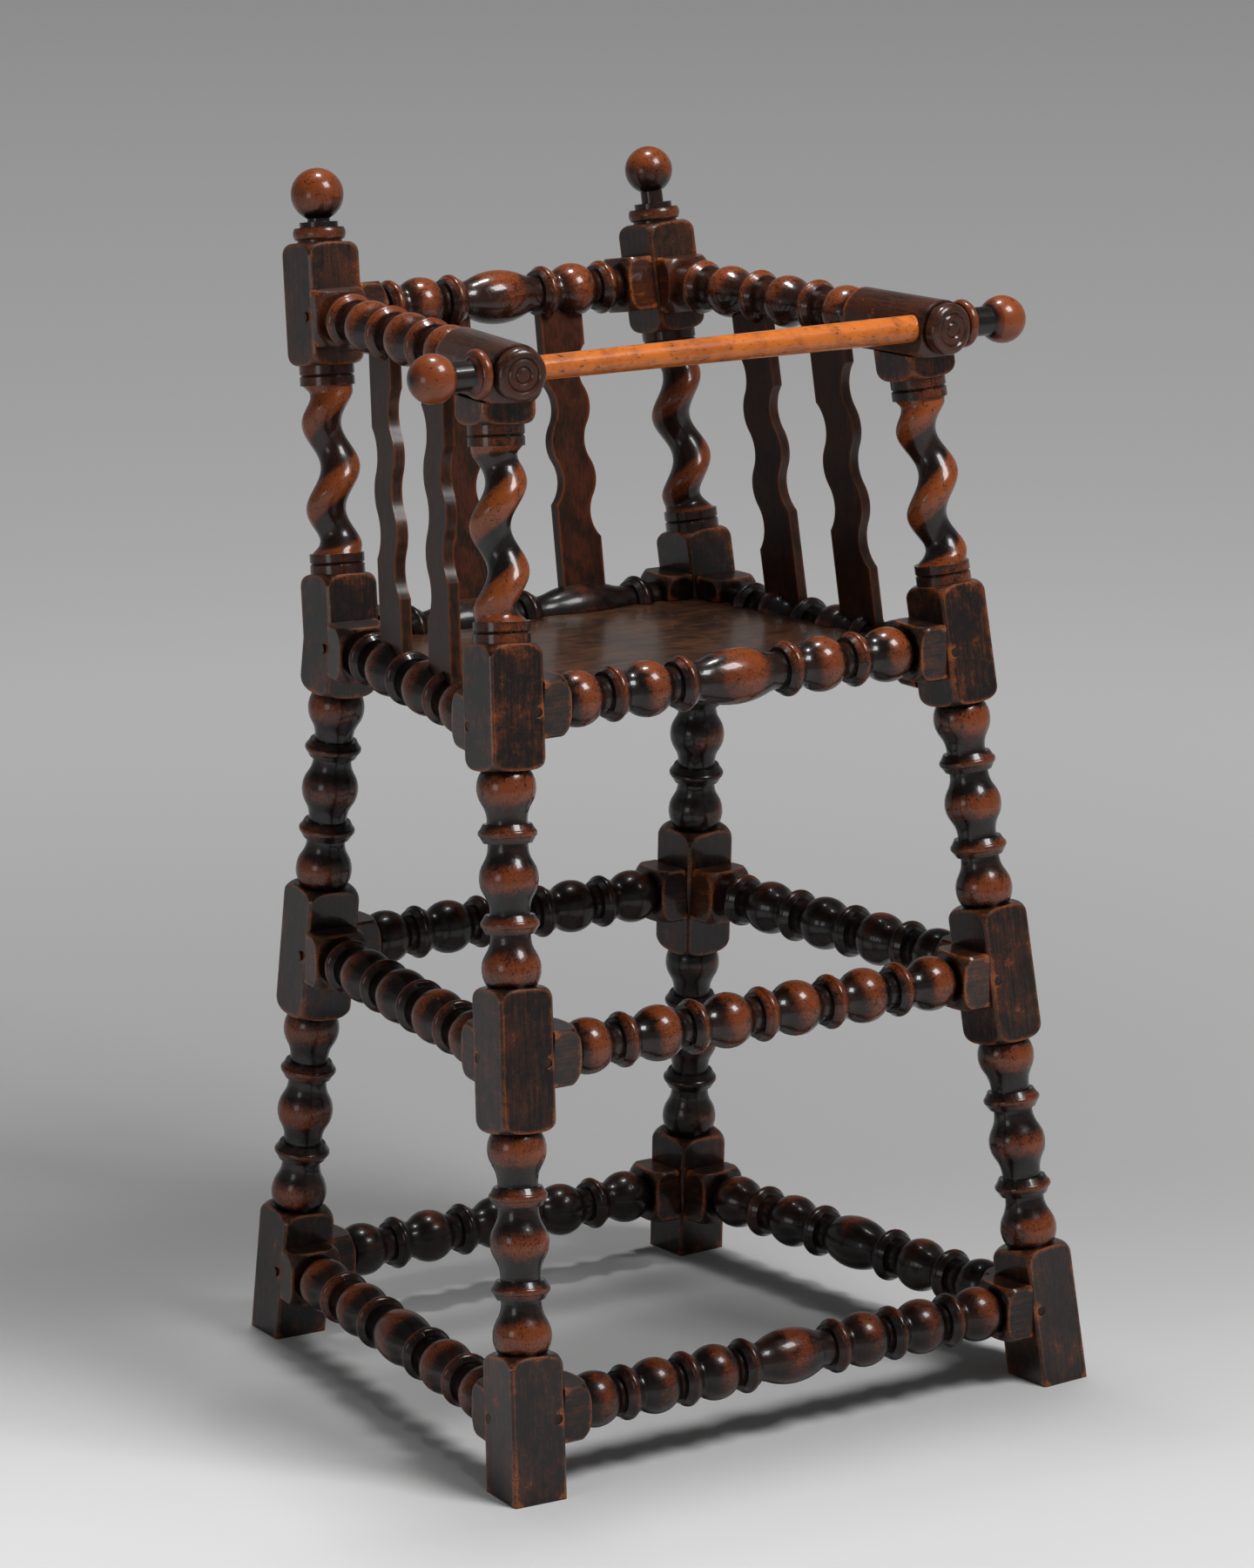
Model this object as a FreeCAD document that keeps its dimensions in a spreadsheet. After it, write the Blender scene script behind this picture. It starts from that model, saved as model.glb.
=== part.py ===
import FreeCAD, Part
import math
import os
import Sketcher

# A turned wooden high chair: four posts of balls, rings and twists, turned rails pegged between
# them, a boarded seat, waved splats, two arms, and a rod that draws out sideways across the front.
# Millimetres, +Z up, the front faces -Y, and the origin lies on the floor below the middle.

SIZES = [
    # Stock and shared turning
    ("block_side", 43.5, "side of a post's square blocks"),
    ("rail_side", 42, "side of a rail's square ends"),
    ("arris_wear", 1.1, "rounding worn off the edges of square stock"),
    ("shoulder", 9.5, "turned rounding where a square block ends"),
    ("post_ball", 43.2, "ball diameter on a post"),
    ("post_neck", 29.4, "neck diameter on a post"),
    ("post_ring", 43, "ring diameter on a post"),
    ("rail_ball", 41.6, "ball diameter on a rail"),
    ("rail_neck", 28, "neck diameter on a rail"),
    ("rail_ring", 41.4, "ring diameter on a rail"),
    ("barrel_dia", 41.6, "diameter of a long swelling on a rail"),
    ("ring_width", 5.4, "width of a ring's rim"),
    ("ring_bulge", 1.4, "rounding of a ring's rim"),
    ("step_width", 4.2, "width of the fillet beside a ring"),
    ("step_rise", 3, "height of the fillet above the neck"),
    ("neck_flat", 2.6, "straight neck between a ring and a cove"),
    ("ball_inset", 12.6, "block end to the first ball's centre on a post"),
    # Posts on the floor and how they lean
    ("front_foot_x", 237, "front foot from the middle"),
    ("front_foot_y", 210, "front foot ahead of the middle"),
    ("front_splay", 3.8, "front post leans in, degrees"),
    ("front_rake", 8.5, "front post leans back, degrees"),
    ("front_turn", 4, "front post is turned on its axis, degrees"),
    ("back_foot_x", 189, "back foot from the middle"),
    ("back_foot_y", 210, "back foot behind the middle"),
    ("back_splay", 2.5, "back post leans in, degrees"),
    ("back_kick", 5.4, "back leg kicks out behind, degrees"),
    ("recline", 9, "back upright leans back, degrees"),
    ("back_turn", 2.5, "back post is turned on its axis, degrees"),
    ("bend_height", 558, "where the back post bends"),
    ("spare", 14, "extra stock trimmed off level"),
    # Heights of rails and blocks
    ("low_front_height", 58, "low front stretcher axis"),
    ("low_side_height", 54, "low side stretcher axis"),
    ("low_back_height", 54, "low back stretcher axis"),
    ("mid_height", 312, "middle stretcher axis"),
    ("seat_front_height", 560, "front seat rail axis"),
    ("seat_side_front", 547, "side seat rail axis at its front end"),
    ("seat_side_back", 555, "side seat rail axis at its back end"),
    ("seat_back_height", 556, "back seat rail axis"),
    ("crest_height", 800, "crest rail axis"),
    ("foot_block_above", 44, "foot block above the low front stretcher"),
    ("mid_block_half", 51.5, "half length of the middle block"),
    ("seat_block_below", 43, "seat block below the front rail axis"),
    ("seat_block_above", 47, "seat block above the front rail axis"),
    ("collar_length", 15, "plain collar at each end of a twist"),
    ("collar_dia", 41.6, "collar diameter"),
    ("collar_groove", 1.2, "line cut round a collar"),
    ("cap_height", 780, "top of the front post under the arm"),
    ("cap_block", 20, "length of the front post's top block"),
    ("crest_block_below", 38, "back top block below the crest axis"),
    ("crest_block_left", 53, "left back top block above the crest axis"),
    ("crest_block_right", 45.5, "right back top block above the crest axis"),
    # Twist
    ("rope_dia", 30, "thickness of the twist"),
    ("rope_throw", 6.3, "how far the twist swings off its axis"),
    ("twist_turns", 2, "turns in each twist"),
    ("core_dia", 12, "heart of the twist"),
    ("phase_front_left", 123, "twist start, degrees"),
    ("phase_front_right", -73, "twist start, degrees"),
    ("phase_back_left", -39, "twist start, degrees"),
    ("phase_back_right", 83, "twist start, degrees"),
    # Finials
    ("finial_ball_left", 40, "left finial ball diameter"),
    ("finial_ball_right", 37, "right finial ball diameter"),
    ("finial_neck", 17, "finial neck diameter"),
    ("finial_ring", 40, "finial ring diameter"),
    ("finial_ring_width", 9, "finial ring width"),
    ("finial_rise_left", 36, "left block top to the ball's centre"),
    ("finial_rise_right", 41, "right block top to the ball's centre"),
    # Joints
    ("square_length", 23, "visible square end of a rail"),
    ("rail_lead", 6, "square stock let into the post before its shoulder is cut"),
    ("tenon_thick", 10, "tenon thickness"),
    ("tenon_height", 27, "tenon height"),
    ("tenon_stop", 7.5, "tenon end short of the post's axis"),
    ("tenon_root", 30, "tenon length, root included"),
    ("joint_gap", 0.15, "clearance round a tenon"),
    ("end_gap", 0.5, "clearance at a tenon's end"),
    ("peg_dia", 7, "peg diameter"),
    ("peg_gap", 0.05, "clearance round a peg"),
    ("peg_place", 14.2, "peg from the post's axis"),
    ("peg_reach", 8, "peg past the post's axis"),
    ("peg_proud", 0.6, "peg end proud of the post"),
    # Seat
    ("seat_top", 557.6, "top of the seat board"),
    ("seat_thick", 10, "thickness of the seat board"),
    ("seat_bite", 5.6, "seat edge short of the rail's axis"),
    ("seat_gap", 0.2, "clearance of the seat in its groove"),
    # Arms and rod
    ("arm_side", 42, "width and height of an arm"),
    ("arm_crown", 22, "radius over an arm's top"),
    ("arm_overhang", 48, "arm ahead of the front post's axis"),
    ("arm_block", 100, "length of an arm's front block"),
    ("arm_ball", 40, "ball diameter on an arm"),
    ("boss_dia", 38.5, "round boss on an arm's front end"),
    ("boss_length", 11, "length of the boss"),
    ("boss_neck", 34, "groove behind the boss"),
    ("boss_line", 1.3, "depth of the circles cut in the boss"),
    ("post_tenon_dia", 20, "round tenon on top of the front post"),
    ("post_tenon_length", 20, "length of that tenon"),
    ("rod_left_dia", 18, "rod in the left arm"),
    ("rod_right_dia", 20.5, "rod in the right arm"),
    ("rod_gap", 0.08, "clearance round the rod"),
    ("rod_setback", 23, "rod axis behind the arm's front end"),
    ("rod_straight", 54, "straight length of rod in each arm"),
    ("pin_dia", 13, "pin on the rod's left end"),
    ("pin_length", 24, "length of that pin"),
    ("pin_gap", 0.06, "clearance round the pin"),
    ("knob_ball", 36, "knob ball diameter"),
    ("knob_reach", 41, "flange to the ball's centre"),
    ("knob_neck", 22, "knob neck diameter"),
    ("flange_dia", 36, "knob flange diameter"),
    ("flange_width", 8, "knob flange width"),
    ("flange_bulge", 2.4, "rounding of the flange's rim"),
    ("knob_gap", 0.35, "flange clear of the arm"),
    # Splats
    ("splat_width", 38, "width of a splat"),
    ("splat_thick", 9, "thickness of a splat"),
    ("splat_stop", 9, "splat end short of the rail's axis"),
    ("splat_slot", 26, "height of the slot for a splat's end"),
    ("splat_foot", 60, "lower rail's axis to a splat's first wave"),
    ("splat_head", 47, "a splat's last wave to the upper rail's axis"),
    ("splat_dip", 7.8, "depth of the dips cut in a splat's edges"),
    ("splat_gap", 0.15, "clearance round a splat's end"),
    ("back_splat_x", 51, "back splats from their middle"),
    ("back_splat_shift", 4, "middle of the back splats right of the chair's middle"),
    ("side_splat_low_rear", 184, "rear side splat on the seat rail, from the front post"),
    ("side_splat_low_front", 99, "front side splat on the seat rail, from the front post"),
    ("side_splat_top_rear", 230, "rear side splat on the arm, from its front end"),
    ("side_splat_top_front", 142, "front side splat on the arm, from its front end"),
]

# How long each turned element is, as shares of the ball to ball pitch
BALL_SHARE = 1.0
END_BALL_SHARE = 0.78
BARREL_SHARE = 1.55
SHORT_BARREL_SHARE = 1.22
NECK_SHARE = 0.25
# How much of a barrel's curve is its crown; the rest is the coves beside it
BARREL_ROUND = 0.68
LEG_BALLS = 3
SPLAT_WAVES = 5
TWIST_SECTIONS = 24
# How the twist grows out of its collars: share of the full swing and of the extra collar size
TWIST_SWING = [0.0, 0.42, 0.82, 1.0]
TWIST_FLARE = [1.0, 0.42, 0.1, 0.0]

doc = FreeCAD.newDocument("turned_high_chair")


def new_sheet(name, rows):
    """A sheet with a note, a value and an alias on each row."""
    page = doc.addObject("Spreadsheet::Sheet", name)
    for row, (alias, content, note) in enumerate(rows, 1):
        page.set(f"A{row}", note)
        page.set(f"B{row}", content)
        page.setAlias(f"B{row}", alias)
    return page


sheet = new_sheet("sizes", [(alias, str(size), note) for alias, size, note in SIZES])


def front_x(height):
    return f"(sizes.front_foot_x - ({height}) * tan(sizes.front_splay))"


def front_y(height):
    return f"(({height}) * tan(sizes.front_rake) / cos(sizes.front_splay) - sizes.front_foot_y)"


def leg_x(height):
    return f"(sizes.back_foot_x - ({height}) * tan(sizes.back_splay))"


def leg_y(height):
    return f"(sizes.back_foot_y - ({height}) * tan(sizes.back_kick) / cos(sizes.back_splay))"


def upright_x(height):
    rise = f"(({height}) - sizes.bend_height)"
    return f"({leg_x('sizes.bend_height')} - {rise} * tan(sizes.back_splay))"


def upright_y(height):
    rise = f"(({height}) - sizes.bend_height)"
    return f"({leg_y('sizes.bend_height')} + {rise} * tan(sizes.recline) / cos(sizes.back_splay))"


# Values worked out from the sizes: where each rail's axis meets the posts' axes
DERIVED = [
    ("front_slant", "1 / (cos(sizes.front_splay) * cos(sizes.front_rake))", "front post length per height"),
    ("leg_slant", "1 / (cos(sizes.back_splay) * cos(sizes.back_kick))", "back leg length per height"),
    ("upright_slant", "1 / (cos(sizes.back_splay) * cos(sizes.recline))", "upright length per height"),
    ("arm_height", "sizes.cap_height + sizes.arm_side / 2", "arm and rod axis"),
]


def derive_cross(name, half, depth):
    """Where a rail from left to right meets its posts."""
    DERIVED.append((name + "_half", half, "half span from axis to axis"))
    DERIVED.append((name + "_span", f"2 * {half}", "span from axis to axis"))
    DERIVED.append((name + "_y", depth, "place from front to back"))


def derive_side(name, front_height, back_height, back_at_x, back_at_y):
    """Where a rail from front to back meets its posts, and how it turns and rises."""
    DERIVED.append((name + "_front_x", front_x(front_height), "front end"))
    DERIVED.append((name + "_front_y", front_y(front_height), "front end"))
    DERIVED.append((name + "_back_x", back_at_x(back_height), "back end"))
    DERIVED.append((name + "_back_y", back_at_y(back_height), "back end"))
    narrowing = f"({name}_front_x - {name}_back_x)"
    run = f"({name}_back_y - {name}_front_y)"
    rise = f"(({back_height}) - ({front_height}))"
    DERIVED.append((name + "_plan", f"sqrt({narrowing}^2 + {run}^2)", "length seen from above"))
    DERIVED.append((name + "_span", f"sqrt({name}_plan^2 + {rise}^2)", "span from axis to axis"))
    DERIVED.append((name + "_turn", f"atan({narrowing} / {run})", "turn towards the middle"))
    DERIVED.append((name + "_tilt", f"atan({rise} / {name}_plan)", "rise towards the back"))


LOW_FRONT, LOW_SIDE, LOW_BACK = "sizes.low_front_height", "sizes.low_side_height", "sizes.low_back_height"
MID = "sizes.mid_height"
SEAT_FRONT, SEAT_BACK = "sizes.seat_front_height", "sizes.seat_back_height"
CREST = "sizes.crest_height"
ARM = "derived.arm_height"

derive_cross("low_front", front_x(LOW_FRONT), front_y(LOW_FRONT))
derive_cross("mid_front", front_x(MID), front_y(MID))
derive_cross("seat_front", front_x(SEAT_FRONT), front_y(SEAT_FRONT))
derive_cross("low_back", leg_x(LOW_BACK), leg_y(LOW_BACK))
derive_cross("mid_back", leg_x(MID), leg_y(MID))
derive_cross("seat_back", leg_x(SEAT_BACK), leg_y(SEAT_BACK))
derive_cross("crest", upright_x(CREST), upright_y(CREST))
derive_side("low_side", LOW_SIDE, LOW_SIDE, leg_x, leg_y)
derive_side("mid_side", MID, MID, leg_x, leg_y)
derive_side("seat_side", "sizes.seat_side_front", "sizes.seat_side_back", leg_x, leg_y)
derive_side("arm", "arm_height", "arm_height", upright_x, upright_y)

DERIVED += [
    ("arm_length", "arm_span + sizes.arm_overhang", "arm from its front end to the back post's axis"),
    ("arm_tip_x", "arm_front_x + sizes.arm_overhang * sin(arm_turn)", "middle of an arm's front end"),
    ("arm_tip_y", "arm_front_y - sizes.arm_overhang * cos(arm_turn)", "middle of an arm's front end"),
    ("rod_y", "arm_tip_y + sizes.rod_setback * cos(arm_turn)", "rod axis"),
    ("rod_arm_x", "arm_tip_x - sizes.rod_setback * sin(arm_turn)", "rod axis crosses the arm's axis"),
    ("arm_outside", "rod_arm_x + sizes.arm_side / 2 / cos(arm_turn)", "arm's outer face at the rod"),
    ("flange_x", "arm_outside + sizes.flange_dia / 2 * tan(arm_turn) + sizes.knob_gap", "knob flange"),
]
derived = new_sheet("derived", [(alias, "=" + formula, note) for alias, formula, note in DERIVED])
doc.recompute()


def value(expression):
    """The number that an expression gives now."""
    result = sheet.evalExpression(expression)
    return float(getattr(result, "Value", result))


def at(x, y, z, turn="0", tilt="0", roll="0"):
    """A place as an expression: turned about Z, then Y, then X."""
    return f"placement(vector({x}; {y}; {z}); rotation({turn}; {tilt}; {roll}))"


def make(kind, name, place=None, **bindings):
    """An object whose sizes are bound to expressions."""
    thing = doc.addObject(kind, name)
    for size, expression in bindings.items():
        thing.setExpression(size, expression)
    if place:
        thing.setExpression("Placement", place)
    return thing


def joined(kind, name, things):
    """One shape from several: a fuse, a common or a compound."""
    result = doc.addObject(kind, name)
    if kind == "Part::Compound":
        result.Links = things
    else:
        result.Shapes = things
    return result


def cut(name, base, tool):
    result = doc.addObject("Part::Cut", name)
    result.Base = base
    result.Tool = tool
    return result


def outline_sketch(name, corners, place, upright=False):
    """A closed sketch through corners of (along, out, arc); every corner is bound to the sheets.

    An arc is the radius of the curve to the next corner, bulging outwards, or inwards if the
    expression starts with a minus sign. An upright sketch has its first direction up.
    """
    spots = []
    for along, out, _ in corners:
        pair = (value(out), value(along)) if upright else (value(along), value(out))
        spots.append(FreeCAD.Vector(pair[0], pair[1], 0))
    radii = [arc.lstrip("-") if arc else None for _, _, arc in corners]
    lines = []
    for index, start in enumerate(spots):
        end = spots[(index + 1) % len(spots)]
        if radii[index] is None:
            lines.append(Part.LineSegment(start, end))
            continue
        chord = end - start
        outward = FreeCAD.Vector(-chord.y, chord.x, 0).normalize()
        if upright != corners[index][2].startswith("-"):
            outward = -outward
        radius = value(radii[index])
        depth = radius - math.sqrt(max(radius**2 - chord.Length**2 / 4, 0))
        middle = (start + end) / 2 + outward * depth
        clockwise = chord.cross(outward).z > 0
        ends = (end, start) if clockwise else (start, end)
        lines.append(Part.Arc(ends[0], middle, ends[1]))
    sketch = make("Sketcher::SketchObject", name, place)
    sketch.addGeometry(lines, False)

    def end_of(index, spot):
        """Which end of a line or arc lies on a corner."""
        return 1 if (sketch.Geometry[index].StartPoint - spot).Length < 1e-6 else 2

    rules = []
    bound = []
    for index, (along, out, _) in enumerate(corners):
        follower = (index + 1) % len(corners)
        corner = end_of(index, spots[index])
        meeting = spots[follower]
        rules.append(Sketcher.Constraint(
            "Coincident", index, end_of(index, meeting), follower, end_of(follower, meeting)))
        across, up = (out, along) if upright else (along, out)
        for kind, axis, expression in (("DistanceX", -2, across), ("DistanceY", -1, up)):
            if expression == "0":
                rules.append(Sketcher.Constraint("PointOnObject", index, corner, axis))
                continue
            bound.append((len(rules), expression))
            rules.append(Sketcher.Constraint(kind, -1, 1, index, corner, value(expression)))
        if radii[index]:
            bound.append((len(rules), radii[index]))
            rules.append(Sketcher.Constraint("Radius", index, value(radii[index])))
    sketch.addConstraint(rules)
    for number, expression in bound:
        sketch.setExpression(f"Constraints[{number}]", expression)
    return sketch


RING_HALF = "(sizes.ring_width / 2 + sizes.step_width)"


class Turning:
    """The half outline of a turned piece, gathered from one end to the other."""

    def __init__(self):
        self.corners = []

    def to(self, along, out, arc=None):
        self.corners.append((along, out, arc))

    def block(self, start, end, side):
        """Square stock left unturned, with rounded shoulders."""
        full = f"({side} / sqrt(2) - sizes.arris_wear)"
        low = f"({full} - sizes.shoulder)"
        self.to(start, low, "sizes.shoulder")
        self.to(f"{start} + sizes.shoulder", full)
        self.to(f"{end} - sizes.shoulder", full, "sizes.shoulder")
        self.to(end, low)

    def swelling(self, centre, reach, thick, neck, arc, start=None, end=None):
        """A crown that runs by a cove into the neck on each side, or is cut off where a block is.

        The reach is from the crown's centre to the straight neck, and the arc is the crown's radius.
        """
        rise = f"(({thick} - {neck}) / 2)"
        arcs = f"((({reach})^2 + {rise}^2) / (2 * {rise}))"
        cove = f"-({arcs} - {arc})"
        along = f"(({reach}) * {arc} / {arcs})"
        out = f"({thick} / 2 - {rise} * {arc} / {arcs})"
        if start:
            self.to(start, f"sqrt(({thick} / 2)^2 - ({centre} - ({start}))^2)", arc)
        else:
            self.to(f"{centre} - ({reach})", f"{neck} / 2", cove)
            self.to(f"{centre} - {along}", out, arc)
        if end:
            self.to(end, f"sqrt(({thick} / 2)^2 - (({end}) - {centre})^2)")
        else:
            self.to(f"{centre} + {along}", out, cove)
            self.to(f"{centre} + ({reach})", f"{neck} / 2")

    def ball(self, centre, reach, ball, neck, start=None, end=None):
        """A round crown between two necks, or cut off where a block starts or ends."""
        self.swelling(centre, reach, ball, neck, f"({ball} / 2)", start, end)

    def barrel(self, centre, reach, thick, neck):
        """A long crown between two necks."""
        rise = f"(({thick} - {neck}) / 2)"
        arc = f"({BARREL_ROUND} * (({reach})^2 + {rise}^2) / (2 * {rise}))"
        self.swelling(centre, reach, thick, neck, arc)

    def rim(self, start, end, thick, bulge):
        """A rounded edge between two flat sides."""
        half = f"((({end}) - ({start})) / 2)"
        self.to(start, f"{thick} / 2 - {bulge}", f"({half}^2 + {bulge}^2) / (2 * {bulge})")
        self.to(end, f"{thick} / 2 - {bulge}")

    def ring(self, centre, ring, neck):
        """A rounded ring with a fillet on each side."""
        edge = "sizes.ring_width / 2"
        step = f"({neck} / 2 + sizes.step_rise)"
        self.to(f"{centre} - {RING_HALF}", f"{neck} / 2")
        self.to(f"{centre} - {RING_HALF}", step)
        self.rim(f"{centre} - {edge}", f"{centre} + {edge}", ring, "sizes.ring_bulge")
        self.to(f"{centre} + {RING_HALF}", step)
        self.to(f"{centre} + {RING_HALF}", f"{neck} / 2")

    def leg(self, start, end):
        """Balls with rings between them, the end balls running into the blocks."""
        first = f"({start} + sizes.ball_inset)"
        pitch = f"((({end}) - ({start}) - 2 * sizes.ball_inset) / {LEG_BALLS - 1})"
        reach = f"({pitch} / 2 - {RING_HALF} - sizes.neck_flat)"
        for index in range(LEG_BALLS):
            centre = f"({first} + {index} * {pitch})"
            if index:
                between = f"({first} + {index - 0.5} * {pitch})"
                self.ring(between, "sizes.post_ring", "sizes.post_neck")
            self.ball(
                centre, reach, "sizes.post_ball", "sizes.post_neck",
                start=None if index else start,
                end=end if index == LEG_BALLS - 1 else None,
            )

    def collar(self, start, end):
        """A plain collar with a line cut round its middle."""
        middle = f"((({start}) + ({end})) / 2)"
        radius = "sizes.collar_dia / 2"
        self.to(start, radius)
        self.to(f"{middle} - sizes.collar_groove", radius)
        self.to(middle, f"{radius} - sizes.collar_groove")
        self.to(f"{middle} + sizes.collar_groove", radius)
        self.to(end, radius)

    def span(self, start, end, pattern, ball="sizes.rail_ball"):
        """A rail's turning: o is a ball, B a barrel, b a short one, - a bare neck, with rings between."""
        neck, ring = "sizes.rail_neck", "sizes.rail_ring"
        shares = {"o": BALL_SHARE, "B": BARREL_SHARE, "b": SHORT_BARREL_SHARE, "-": NECK_SHARE}
        lengths = [shares[letter] for letter in pattern]
        for index in (0, len(pattern) - 1):
            if pattern[index] == "o":
                lengths[index] = END_BALL_SHARE
        pitch = f"((({end}) - ({start})) / {sum(lengths):.4f})"
        clear = f"({RING_HALF} + sizes.neck_flat)"
        if pattern[0] == "-":
            self.to(start, f"{neck} / 2")
        done = 0.0
        for index, letter in enumerate(pattern):
            last = index == len(pattern) - 1
            half = shares[letter] / 2
            middle = done + half if last else done + lengths[index] - half
            centre = f"({start} + {middle:.4f} * {pitch})"
            reach = f"({half:.4f} * {pitch} - {clear})"
            if letter == "o":
                self.ball(centre, reach, ball, neck, None if index else start, end if last else None)
            elif letter in "Bb":
                self.barrel(centre, reach, "sizes.barrel_dia", neck)
            if not last:
                self.ring(f"({start} + {done + lengths[index]:.4f} * {pitch})", ring, neck)
            done += lengths[index]
        if pattern[-1] == "-":
            self.to(end, f"{neck} / 2")

    def knob(self, start):
        """A flange, a neck and a ball, ending on the axis."""
        self.to(start, "sizes.flange_dia / 2 - 2 * sizes.flange_bulge")
        self.rim(start, f"{start} + sizes.flange_width", "sizes.flange_dia", "sizes.flange_bulge")
        self.to(f"{start} + sizes.flange_width", "sizes.knob_neck / 2 + sizes.step_rise")
        self.to(f"{start} + sizes.flange_width + sizes.step_width", "sizes.knob_neck / 2")
        reach = f"({start} + sizes.knob_reach)"
        half = "sqrt((sizes.knob_ball / 2)^2 - (sizes.knob_neck / 2)^2)"
        self.to(f"{reach} - {half}", "sizes.knob_neck / 2", "sizes.knob_ball / 2")
        self.to(f"{reach} + sizes.knob_ball / 2", "0")

    def made(self, name, place, upright=False):
        """The solid that this outline turns into, set in its place."""
        flat = at(0, 0, 0, roll="90") if upright else at(0, 0, 0)
        sketch = outline_sketch(name + "_outline", self.corners, flat, upright)
        return turned(name, sketch, place, upright)


def turned(name, sketch, place, upright=False):
    solid = make("Part::Revolution", name, place)
    solid.Source = sketch
    solid.Axis = FreeCAD.Vector(0, 0, 1) if upright else FreeCAD.Vector(1, 0, 0)
    solid.Angle = 360
    solid.Solid = True
    return solid


def bar(name, frame, length, side, height=None):
    """Square stock along a frame's first direction, centred on its axis."""
    height = height or side
    place = f"{frame} * " + at(0, f"-({side}) / 2", f"-({height}) / 2")
    return make("Part::Box", name, place, Length=length, Width=side, Height=height)


def level_slab(name, low, high):
    """Everything between two heights, wider than the chair."""
    reach = "(2 * (sizes.front_foot_x + sizes.back_foot_x))"
    depth = "(2 * (sizes.front_foot_y + sizes.back_foot_y))"
    place = at(f"-{reach} / 2", f"-{depth} / 2", low)
    return make("Part::Box", name, place, Length=reach, Width=depth, Height=f"({high}) - ({low})")


def twist(name, frame, start, end, phase):
    """A single rope that winds up round the post's axis, rising to the right as seen from outside."""
    rings = []
    sunk = "sizes.collar_groove"
    for index in range(TWIST_SECTIONS + 1):
        near = min(index, TWIST_SECTIONS - index, len(TWIST_SWING) - 1)
        swing = f"({TWIST_SWING[near]} * sizes.rope_throw)"
        flare = f"({TWIST_FLARE[near]} * (sizes.collar_dia - sizes.rope_dia - 2 * sizes.collar_groove))"
        share = index / TWIST_SECTIONS
        angle = f"({phase} + {share:.5f} * 360 * sizes.twist_turns)"
        height = f"({start} - {sunk} + {share:.5f} * (({end}) - ({start}) + 2 * {sunk}))"
        place = f"{frame} * " + at(f"{swing} * cos({angle})", f"{swing} * sin({angle})", height)
        rings.append(make("Part::Circle", f"{name}_{index}", place, Radius=f"(sizes.rope_dia + {flare}) / 2"))
    rope = doc.addObject("Part::Loft", name)
    rope.Sections = rings
    rope.Solid = True
    return rope


SIDES = {"left": -1, "right": 1}
parts = {}
mortises = {f"{end}_{side}": [] for end in ("front", "back") for side in SIDES}
pegs = {corner: [] for corner in mortises}


def keep(node, thing):
    """Names a finished piece after its node."""
    thing.Label = node
    parts[node] = thing


# Posts: stock, turning and twist. The mortises are cut once the rails are known.
def post_axis(height, slant):
    """Distance along a post from its spare stock below the floor up to a height."""
    return f"(({height}) + sizes.spare) * derived.{slant}"


def leg_turning(slant, top):
    """Foot block, turned leg, middle block, turned leg and seat block."""
    foot_top = post_axis(f"{LOW_FRONT} + sizes.foot_block_above", slant)
    mid_low = post_axis(f"{MID} - sizes.mid_block_half", slant)
    mid_top = post_axis(f"{MID} + sizes.mid_block_half", slant)
    seat_low = post_axis(f"{SEAT_FRONT} - sizes.seat_block_below", slant)
    shape = Turning()
    shape.to("0", "0")
    full = "(sizes.block_side / sqrt(2) - sizes.arris_wear)"
    shape.to("0", full)
    shape.to(f"{foot_top} - sizes.shoulder", full, "sizes.shoulder")
    shape.to(foot_top, f"{full} - sizes.shoulder")
    shape.leg(foot_top, mid_low)
    shape.block(mid_low, mid_top, "sizes.block_side")
    shape.leg(mid_top, seat_low)
    shape.to(seat_low, f"{full} - sizes.shoulder", "sizes.shoulder")
    shape.to(f"{seat_low} + sizes.shoulder", full)
    shape.to(f"{top} - sizes.shoulder", full, "sizes.shoulder")
    shape.to(top, f"{full} - sizes.shoulder")
    return shape


SEAT_TOP = f"{SEAT_FRONT} + sizes.seat_block_above"
TWIST_LOW = f"{SEAT_TOP} + sizes.collar_length"
front_shape = leg_turning("front_slant", post_axis(SEAT_TOP, "front_slant"))
cap_low = "sizes.cap_height - sizes.cap_block"
front_twist_low = post_axis(TWIST_LOW, "front_slant")
front_twist_top = post_axis(f"{cap_low} - sizes.collar_length", "front_slant")
front_shape.collar(post_axis(SEAT_TOP, "front_slant"), front_twist_low)
front_shape.to(front_twist_low, "sizes.core_dia / 2")
front_shape.to(front_twist_top, "sizes.core_dia / 2")
front_shape.collar(front_twist_top, post_axis(cap_low, "front_slant"))
cap_top = post_axis("sizes.cap_height + sizes.spare", "front_slant")
front_shape.block(post_axis(cap_low, "front_slant"), f"({cap_top} + sizes.shoulder)", "sizes.block_side")
front_shape.to(f"({cap_top} + sizes.shoulder)", "0")
upright_sketch_place = at(0, 0, 0, roll="90")
front_sketch = outline_sketch("front_post_outline", front_shape.corners, upright_sketch_place, True)

leg_shape = leg_turning("leg_slant", post_axis(f"{SEAT_TOP} + sizes.spare", "leg_slant"))
leg_shape.to(post_axis(f"{SEAT_TOP} + sizes.spare", "leg_slant"), "0")
leg_sketch = outline_sketch("back_leg_outline", leg_shape.corners, upright_sketch_place, True)


def upright_axis(height):
    """Distance along a back upright from its spare stock below the bend up to a height."""
    return f"(({height}) - sizes.bend_height + sizes.seat_block_below) * derived.upright_slant"


crest_low = f"{CREST} - sizes.crest_block_below"
back_twist_low = upright_axis(TWIST_LOW)
back_twist_top = upright_axis(f"{crest_low} - sizes.collar_length")


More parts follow.
